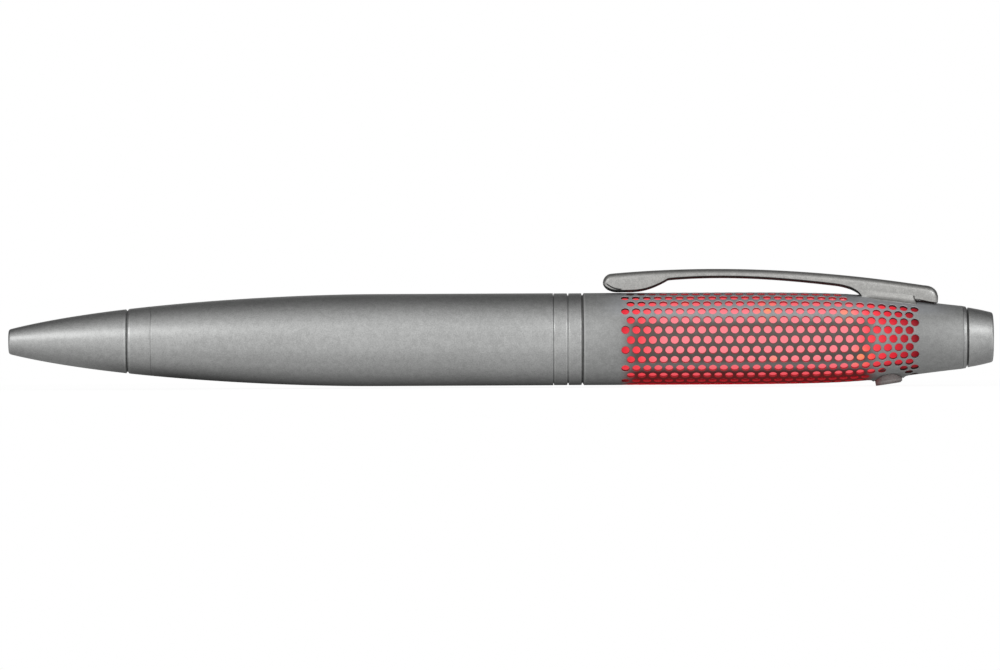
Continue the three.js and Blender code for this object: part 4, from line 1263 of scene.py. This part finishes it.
class PEN_OT_button(PenPiece, Operator):
    """Light button of smoke plastic in its raised bezel, which is blended into the sleeve"""

    bl_idname = "pen.button"
    bl_label = "Light Button and Bezel"

    def execute(self, context):
        upright = Matrix.Rotation(math.radians(90), 4, "Y")
        top = -height_of("button_bezel", 1)
        bore = 2.03
        rim = 2.85
        collar = ((2.08, 0.25), (2.15, 0.26), (2.24, 0.19), (2.36, 0.11), (2.55, 0.04))
        section = [(lift, radius, 0) for radius, lift in ((bore, 0.18), *collar, (rim, 0.01))]
        section += [(-0.3, rim, 0), (-1.2, 2.4, 0), (-1.2, bore, 0)]
        bezel = turned(section, sides=72)
        bezel.transform(Matrix.Translation((BUTTON_STATION, 0, 0)) @ upright)
        for vert in bezel.verts:
            lift = -vert.co.z
            surface = math.sqrt(barrel_radius(vert.co.x) ** 2 - vert.co.y**2)
            if lift > -0.1:
                radius = Vector((vert.co.x - BUTTON_STATION, vert.co.y)).length
                inner = (rim - radius) / (rim - bore)
                sideways = (vert.co.y / radius) ** 2
                lift = lift * (1 - sideways) - 0.2 * inner * sideways
            vert.co.z = -top if lift < -1 else -(surface + lift)
        metal = blasted_metal("bezel_metal", context.scene.pen_finish, shade=0.8)
        place_in_frame(bezel, "button_bezel_raised", "upper_half", "button_bezel", metal, 45)

        slope = 0.15
        side = 1.97
        centre = -height_of("light_button", 0) - slope * side
        flange = top - 0.1
        flange_root = flange - 0.38
        flange_radius = 2.35
        stem = 0.75
        stem_end = 0.45
        section = [
            (stem_end, 0, 0),
            (stem_end, stem, 0.1),
            (flange_root, stem, 0),
            (flange_root, flange_radius, 0.06),
            (flange, flange_radius, 0.06),
            (flange, side, 0),
            (centre - 0.55, side, 0.12),
            (centre, 1.76, 0.1),
            (centre, 0, 0),
        ]
        button = turned(section, sides=72, solid=True)
        button.transform(Matrix.Translation((BUTTON_STATION, 0, 0)) @ upright)
        for vert in button.verts:
            if vert.co.z < -centre + 0.4:
                vert.co.z += slope * (vert.co.x - BUTTON_STATION)
            vert.co.z = min(vert.co.z, height_of("light_button", 1))
        smoke = smoke_plastic("button_smoke")
        name = "light_button"
        place_in_frame(button, f"{name}_lens", name, name, smoke, 40)
        return {"FINISHED"}


class PEN_OT_refill(PenPiece, Operator):
    """Writing tip with its ball, and the ink tube"""

    bl_idname = "pen.refill"
    bl_label = "Refill"

    sides = 64

    def execute(self, context):
        ball_radius = 0.5
        ball = station_of("writing_ball", 0) + ball_radius
        socket = 0.545
        shank = 1.15
        plug = 1.0
        tip_end = station_of("return_spring", 1)
        plug_end = tip_end + 4
        tip = [
            (ball + 0.59, 0, 0),
            (ball + 0.59, socket, 0),
            (ball + 0.1, socket, 0),
            (ball + 0.1, 0.635, 0.03),
            (ball + 1.3, 0.76, 0.1),
            (ball + 4.1, shank, 0.15),
            (tip_end, shank, 0.08),
            (tip_end, plug, 0),
            (plug_end, plug, 0.1),
            (plug_end, 0, 0),
        ]
        bm = turned(tip, self.sides, solid=True)
        brass = drawn_metal("tip_brass", BRASS)
        place_in_frame(bm, "refill_tip_turned", "refill_unit", "refill_tip", brass)

        bm = bmesh.new()
        bmesh.ops.create_uvsphere(bm, u_segments=32, v_segments=20, radius=ball_radius)
        bmesh.ops.translate(bm, vec=(ball, 0, 0), verts=bm.verts[:])
        steel = drawn_metal("ball_steel", (0.73, 0.74, 0.76), 0.15, 0.2)
        place_in_frame(bm, "writing_ball_round", "refill_unit", "writing_ball", steel)

        start = station_of("refill_tube", 0)
        end = station_of("refill_tube", 1)
        outer = 1.5
        bore = 1.1
        tube = [
            (start, bore, 0),
            (start, outer, 0.06),
            (start + 3.2, outer, 0.1),
            (start + 3.6, outer - 0.08, 0.1),
            (start + 4.0, outer, 0.1),
            (end, outer, 0.06),
            (end, bore, 0),
        ]
        bm = turned(tube, self.sides)
        brass = drawn_metal("tube_brass", BRASS, 0.34)
        place_in_frame(bm, "refill_tube_drawn", "refill_unit", "refill_tube", brass)
        return {"FINISHED"}


class PEN_OT_springs(PenPiece, Operator):
    """Return spring round the writing tip, and the battery's contact spring"""

    bl_idname = "pen.springs"
    bl_label = "Springs"

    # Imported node, body that carries it, radius of the coil, thickness of the wire, and curls
    springs = (("return_spring", "nose", 1.575, 0.45, 8), ("contact_spring", None, 1.9, 0.4, 4))
    steps_per_curl = 32

    def execute(self, context):
        steel = drawn_metal("spring_steel", (0.70, 0.71, 0.73), 0.25, 0.3)
        for node, body, radius, wire, curls in self.springs:
            start = station_of(node, 0) + wire / 2
            end = station_of(node, 1) - wire / 2
            bm = bmesh.new()
            ring = bmesh.ops.create_circle(bm, segments=12, radius=wire / 2, cap_ends=True)
            upright = Matrix.Rotation(math.radians(90), 4, "X")
            across = Matrix.Rotation(math.radians(90), 4, "Z")
            place = Matrix.Translation((start, radius, 0)) @ across @ upright
            bmesh.ops.transform(bm, matrix=place, verts=ring["verts"])
            steps = curls * self.steps_per_curl
            bmesh.ops.spin(
                bm,
                geom=bm.verts[:] + bm.edges[:] + bm.faces[:],
                cent=(0, 0, 0),
                axis=(1, 0, 0),
                dvec=((end - start) / steps, 0, 0),
                angle=curls * math.tau,
                steps=steps,
            )
            piece = place_in_frame(bm, f"{node}_wound", body, node, steel, 60)
            front = (TIP_X + (start - wire / 2) * MM, 0, AXIS_Z)
            rear = (TIP_X + (end + wire / 2) * MM, 0, AXIS_Z)
            if body:
                keep = 1 - refill_travel() / (rear[0] - front[0])
                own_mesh(piece)
            else:
                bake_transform(piece)
        return {"FINISHED"}


class PEN_OT_diffuser(PenPiece, Operator):
    """Milky tube that glows behind the holes"""

    bl_idname = "pen.diffuser"
    bl_label = "Diffuser"

    def execute(self, context):
        inset = 0.8
        wall = 0.8
        narrowest = height_of("battery_holder", 1) + 0.2
        outer = outline_points(BELLY_END, DIFFUSER_END, 24, inset)
        inner = outline_points(BELLY_END, DIFFUSER_END, 24, inset + wall)
        section = [
            (DIFFUSER_START, BELLY_RADIUS - inset, 0.1),
            *outer,
            *((x, max(radius, narrowest), 0) for x, radius, _ in reversed(inner)),
            (DIFFUSER_START, BELLY_RADIUS - inset - wall, 0),
        ]
        bm = turned(section, 96)
        across = [Vector((math.cos(i * math.pi / 4), math.sin(i * math.pi / 4), 0)) for i in range(4)]
        for station, half, side in ((BUTTON_STATION, 2.5, -1), (SADDLE_MIDDLE, 1.0, 1)):
            middle = Vector((station, 0, 0))
            for normal in across:
                for place in (middle - normal * half, middle + normal * half):
                    bmesh.ops.bisect_plane(bm, geom=self.all_of(bm), plane_co=place, plane_no=normal)
            inside = []
            for face in bm.faces:
                place = face.calc_center_median() - middle
                if place.z * side > 0 and all(abs(place.dot(normal)) < half for normal in across):
                    inside.append(face)
            bmesh.ops.delete(bm, geom=inside, context="FACES")
            bmesh.ops.bridge_loops(bm, edges=[edge for edge in bm.edges if edge.is_boundary])
        glow = lit_diffuser("diffuser_glow", context.scene.pen_finish)
        place_in_frame(bm, "diffuser_moulded", "upper_half", "diffuser_tube", glow)
        return {"FINISHED"}

    @staticmethod
    def all_of(bm):
        """Everything in a bmesh"""
        return bm.verts[:] + bm.edges[:] + bm.faces[:]


class PEN_OT_inner_pieces(PenPiece, Operator):
    """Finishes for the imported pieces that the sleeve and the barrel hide"""

    bl_idname = "pen.inner_pieces"
    bl_label = "Inner Pieces"

    def execute(self, context):
        finish = context.scene.pen_finish
        looks = {
            "refill_carrier": moulded_plastic("carrier_plastic", (0.03, 0.03, 0.035)),
            "bearing_bush": moulded_plastic("bush_plastic", (0.05, 0.05, 0.055)),
            "twist_guide": moulded_plastic("guide_plastic", (0.78, 0.76, 0.7), 0.4),
            "cam_sleeve": drawn_metal("cam_brass", BRASS, 0.3, 0.8),
            "switch_body": moulded_plastic("switch_plastic", (0.02, 0.02, 0.022), 0.45),
            "switch_plunger": moulded_plastic("plunger_plastic", (0.8, 0.77, 0.7), 0.35),
            "battery_holder": moulded_plastic("holder_plastic", (0.03, 0.03, 0.033), 0.55),
            "resistor": moulded_plastic("resistor_ceramic", (0.02, 0.02, 0.02), 0.3, 0.3),
            "contact_plate": drawn_metal("plate_brass", (0.75, 0.6, 0.34), 0.25, 0.6),
            "led_board": circuit_board("board_lacquer"),
        }
        for node in ("cell_front", "cell_rear"):
            looks[node] = drawn_metal(f"{node}_steel", (0.66, 0.67, 0.69), 0.3, 0.9)
        for node in frame["nodes"]:
            if node.startswith("led_") and node not in looks:
                centre = (station_of(node, 0) + station_of(node, 1)) / 2
                looks[node] = lamp_package(f"{node}_package", centre, finish)
        for node, material in looks.items():
            for slot in frame["nodes"][node].material_slots:
                slot.material = material
        return {"FINISHED"}


class PEN_OT_stage(PenPiece, Operator):
    """Pale floor, soft studio light and the camera at the photograph's angle"""

    bl_idname = "pen.stage"
    bl_label = "Stage"

    def execute(self, context):
        stage = context.scene.pen_stage
        context.scene.view_settings.view_transform = "Standard"
        self.floor()
        self.room(context.scene, stage)
        self.softbox("left", -36, stage.left_power)
        self.softbox("right", 36, stage.right_power)
        self.camera(context.scene, stage)
        return {"FINISHED"}

    @staticmethod
    def floor():
        """A white floor that keeps the pen's shadow, and that the metal sees as paler in front of the pen,
        with a painted shadow strip under it
        """
        bm = bmesh.new()
        bmesh.ops.create_grid(bm, x_segments=1, y_segments=1, size=3)
        mesh = bpy.data.meshes.new("floor")
        bm.to_mesh(mesh)
        bm.free()
        plane = bpy.data.objects.new("floor", mesh)
        bpy.context.scene.collection.objects.link(plane)
        material = bpy.data.materials.new("floor_pale")
        sheet = NodeSheet(material)
        place = sheet.add("ShaderNodeTexCoord").outputs["Object"]
        x, y, _ = sheet.parts_of(place)
        far = (x * x + y * y).root().above(0.1, 0.3)
        seen = sheet.ray("Camera")
        shown = seen * far.above(0, 1, 0.75, 1)
        # Painted shadow: a darker strip under the pen, narrower near its ends, in what the metal reflects
        painted_shadow_under_pen = y.above(-0.0065, 0.0005, 0, 0.85) * y.above(0.012, 0.02, 1, 0)
        painted_shadow_under_pen = painted_shadow_under_pen * abs(x).above(0.045, 0.066, 1, 0.15)
        in_metal = (y.above(-0.028, 0.004, 0.86, 0.4) + y.above(0.012, 0.04, 0, 0.4)) * (1 - painted_shadow_under_pen)
        strength = seen * far.above(0, 1, 1.2, 1) + (1 - seen) * in_metal
        paint = sheet.add("ShaderNodeBsdfDiffuse", {}, {"Color": (0.82, 0.82, 0.82)})
        white = sheet.add("ShaderNodeEmission", {}, {"Strength": strength})
        share = sheet.highest([shown, sheet.ray("Glossy")])
        values = {0: share, 1: paint.outputs[0], 2: white.outputs[0]}
        blend = sheet.add("ShaderNodeMixShader", {}, values)
        sheet.add("ShaderNodeOutputMaterial", {}, {"Surface": blend.outputs[0]})
        mesh.materials.append(material)

    @staticmethod
    def room(scene, stage):
        """White to the camera. The pen sees it white in front, and darker overhead and behind."""
        scene.world = bpy.data.worlds.new("studio")
        sheet = NodeSheet(scene.world)
        direction = sheet.add("ShaderNodeTexCoord").outputs["Generated"]
        _, away, up = sheet.parts_of(direction)
        light = (-away).above(-0.5, 0.9) * stage.room_front + up.above(0.2, 0.9) * stage.room_top
        light = light + stage.room_back + away.above(0.8, 1.0, 0, 0.5)
        seen = sheet.highest([sheet.ray("Camera"), sheet.ray("Transmission")])
        strength = seen + (1 - seen) * light
        sky = sheet.add("ShaderNodeBackground", {}, {"Color": (1.0, 1.0, 1.0), "Strength": strength})
        sheet.add("ShaderNodeOutputWorld", {}, {"Surface": sky.outputs[0]})

    @staticmethod
    def softbox(name, azimuth, power):
        """A square lamp on one side of the camera, aimed at the pen. The azimuth is in degrees."""
        azimuth = math.radians(azimuth)
        elevation = math.radians(28)
        distance = 0.5
        light = bpy.data.lights.new(name, "AREA")
        light.shape = "SQUARE"
        light.size = 0.2
        light.energy = power
        lamp = bpy.data.objects.new(name, light)
        level = math.cos(elevation)
        aim = Vector((math.sin(azimuth) * level, -math.cos(azimuth) * level, math.sin(elevation)))
        place = Matrix.Translation(Vector((0, 0, AXIS_Z)) + aim * distance)
        lamp.matrix_world = place @ aim.to_track_quat("Z", "Y").to_matrix().to_4x4()
        bpy.context.scene.collection.objects.link(lamp)

    @staticmethod
    def camera(scene, stage):
        """A long lens, level and square to the pen, with the photograph's small turn"""
        lens = bpy.data.cameras.new("photo_view")
        lens.sensor_width = 36
        lens.lens = lens.sensor_width * stage.camera_distance / stage.picture_width
        lens.clip_start = 0.01
        lens.clip_end = 20
        camera = bpy.data.objects.new("photo_view", lens)
        middle = -0.136 * MM
        height = 7.52 * MM
        place = Matrix.Translation((middle, -stage.camera_distance, height))
        upright = Euler((math.radians(90), 0, 0)).to_matrix().to_4x4()
        camera.matrix_world = place @ upright @ Matrix.Rotation(stage.camera_roll, 4, "Z")
        scene.collection.objects.link(camera)
        scene.camera = camera


OPERATORS = (
    PEN_OT_nose_cone,
    PEN_OT_lower_half,
    PEN_OT_sleeve,
    PEN_OT_tail,
    PEN_OT_clip,
    PEN_OT_clip_mount,
    PEN_OT_button,
    PEN_OT_refill,
    PEN_OT_springs,
    PEN_OT_diffuser,
    PEN_OT_inner_pieces,
    PEN_OT_stage,
)


class PEN_PT_sidebar(Panel):
    """Lists the pen's sizes, finishes and pieces"""

    bl_label = "Light-up Pen"
    bl_idname = "PEN_PT_sidebar"
    bl_space_type = "VIEW_3D"
    bl_region_type = "UI"
    bl_category = "Pen"

    def draw(self, context):
        layout = self.layout
        for group in (context.scene.pen_shape, context.scene.pen_finish, context.scene.pen_stage):
            box = layout.box()
            for name in group.__annotations__:
                box.prop(group, name)
        for operator in OPERATORS:
            layout.operator(operator.bl_idname)


CLASSES = (PenShape, PenFinish, PenStage, *OPERATORS, PEN_PT_sidebar)


def register():
    """Adds the classes and the scene's settings"""
    for item in CLASSES:
        bpy.utils.register_class(item)
    bpy.types.Scene.pen_shape = PointerProperty(type=PenShape)
    bpy.types.Scene.pen_finish = PointerProperty(type=PenFinish)
    bpy.types.Scene.pen_stage = PointerProperty(type=PenStage)


def unregister():
    """Takes them away again"""
    del bpy.types.Scene.pen_shape
    del bpy.types.Scene.pen_finish
    del bpy.types.Scene.pen_stage
    for item in reversed(CLASSES):
        bpy.utils.unregister_class(item)


def main():
    """Builds every piece"""
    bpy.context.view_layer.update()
    register()
    for operator in OPERATORS:
        group, name = operator.bl_idname.split(".")
        getattr(getattr(bpy.ops, group), name)()


if __name__ == "__main__":
    main()
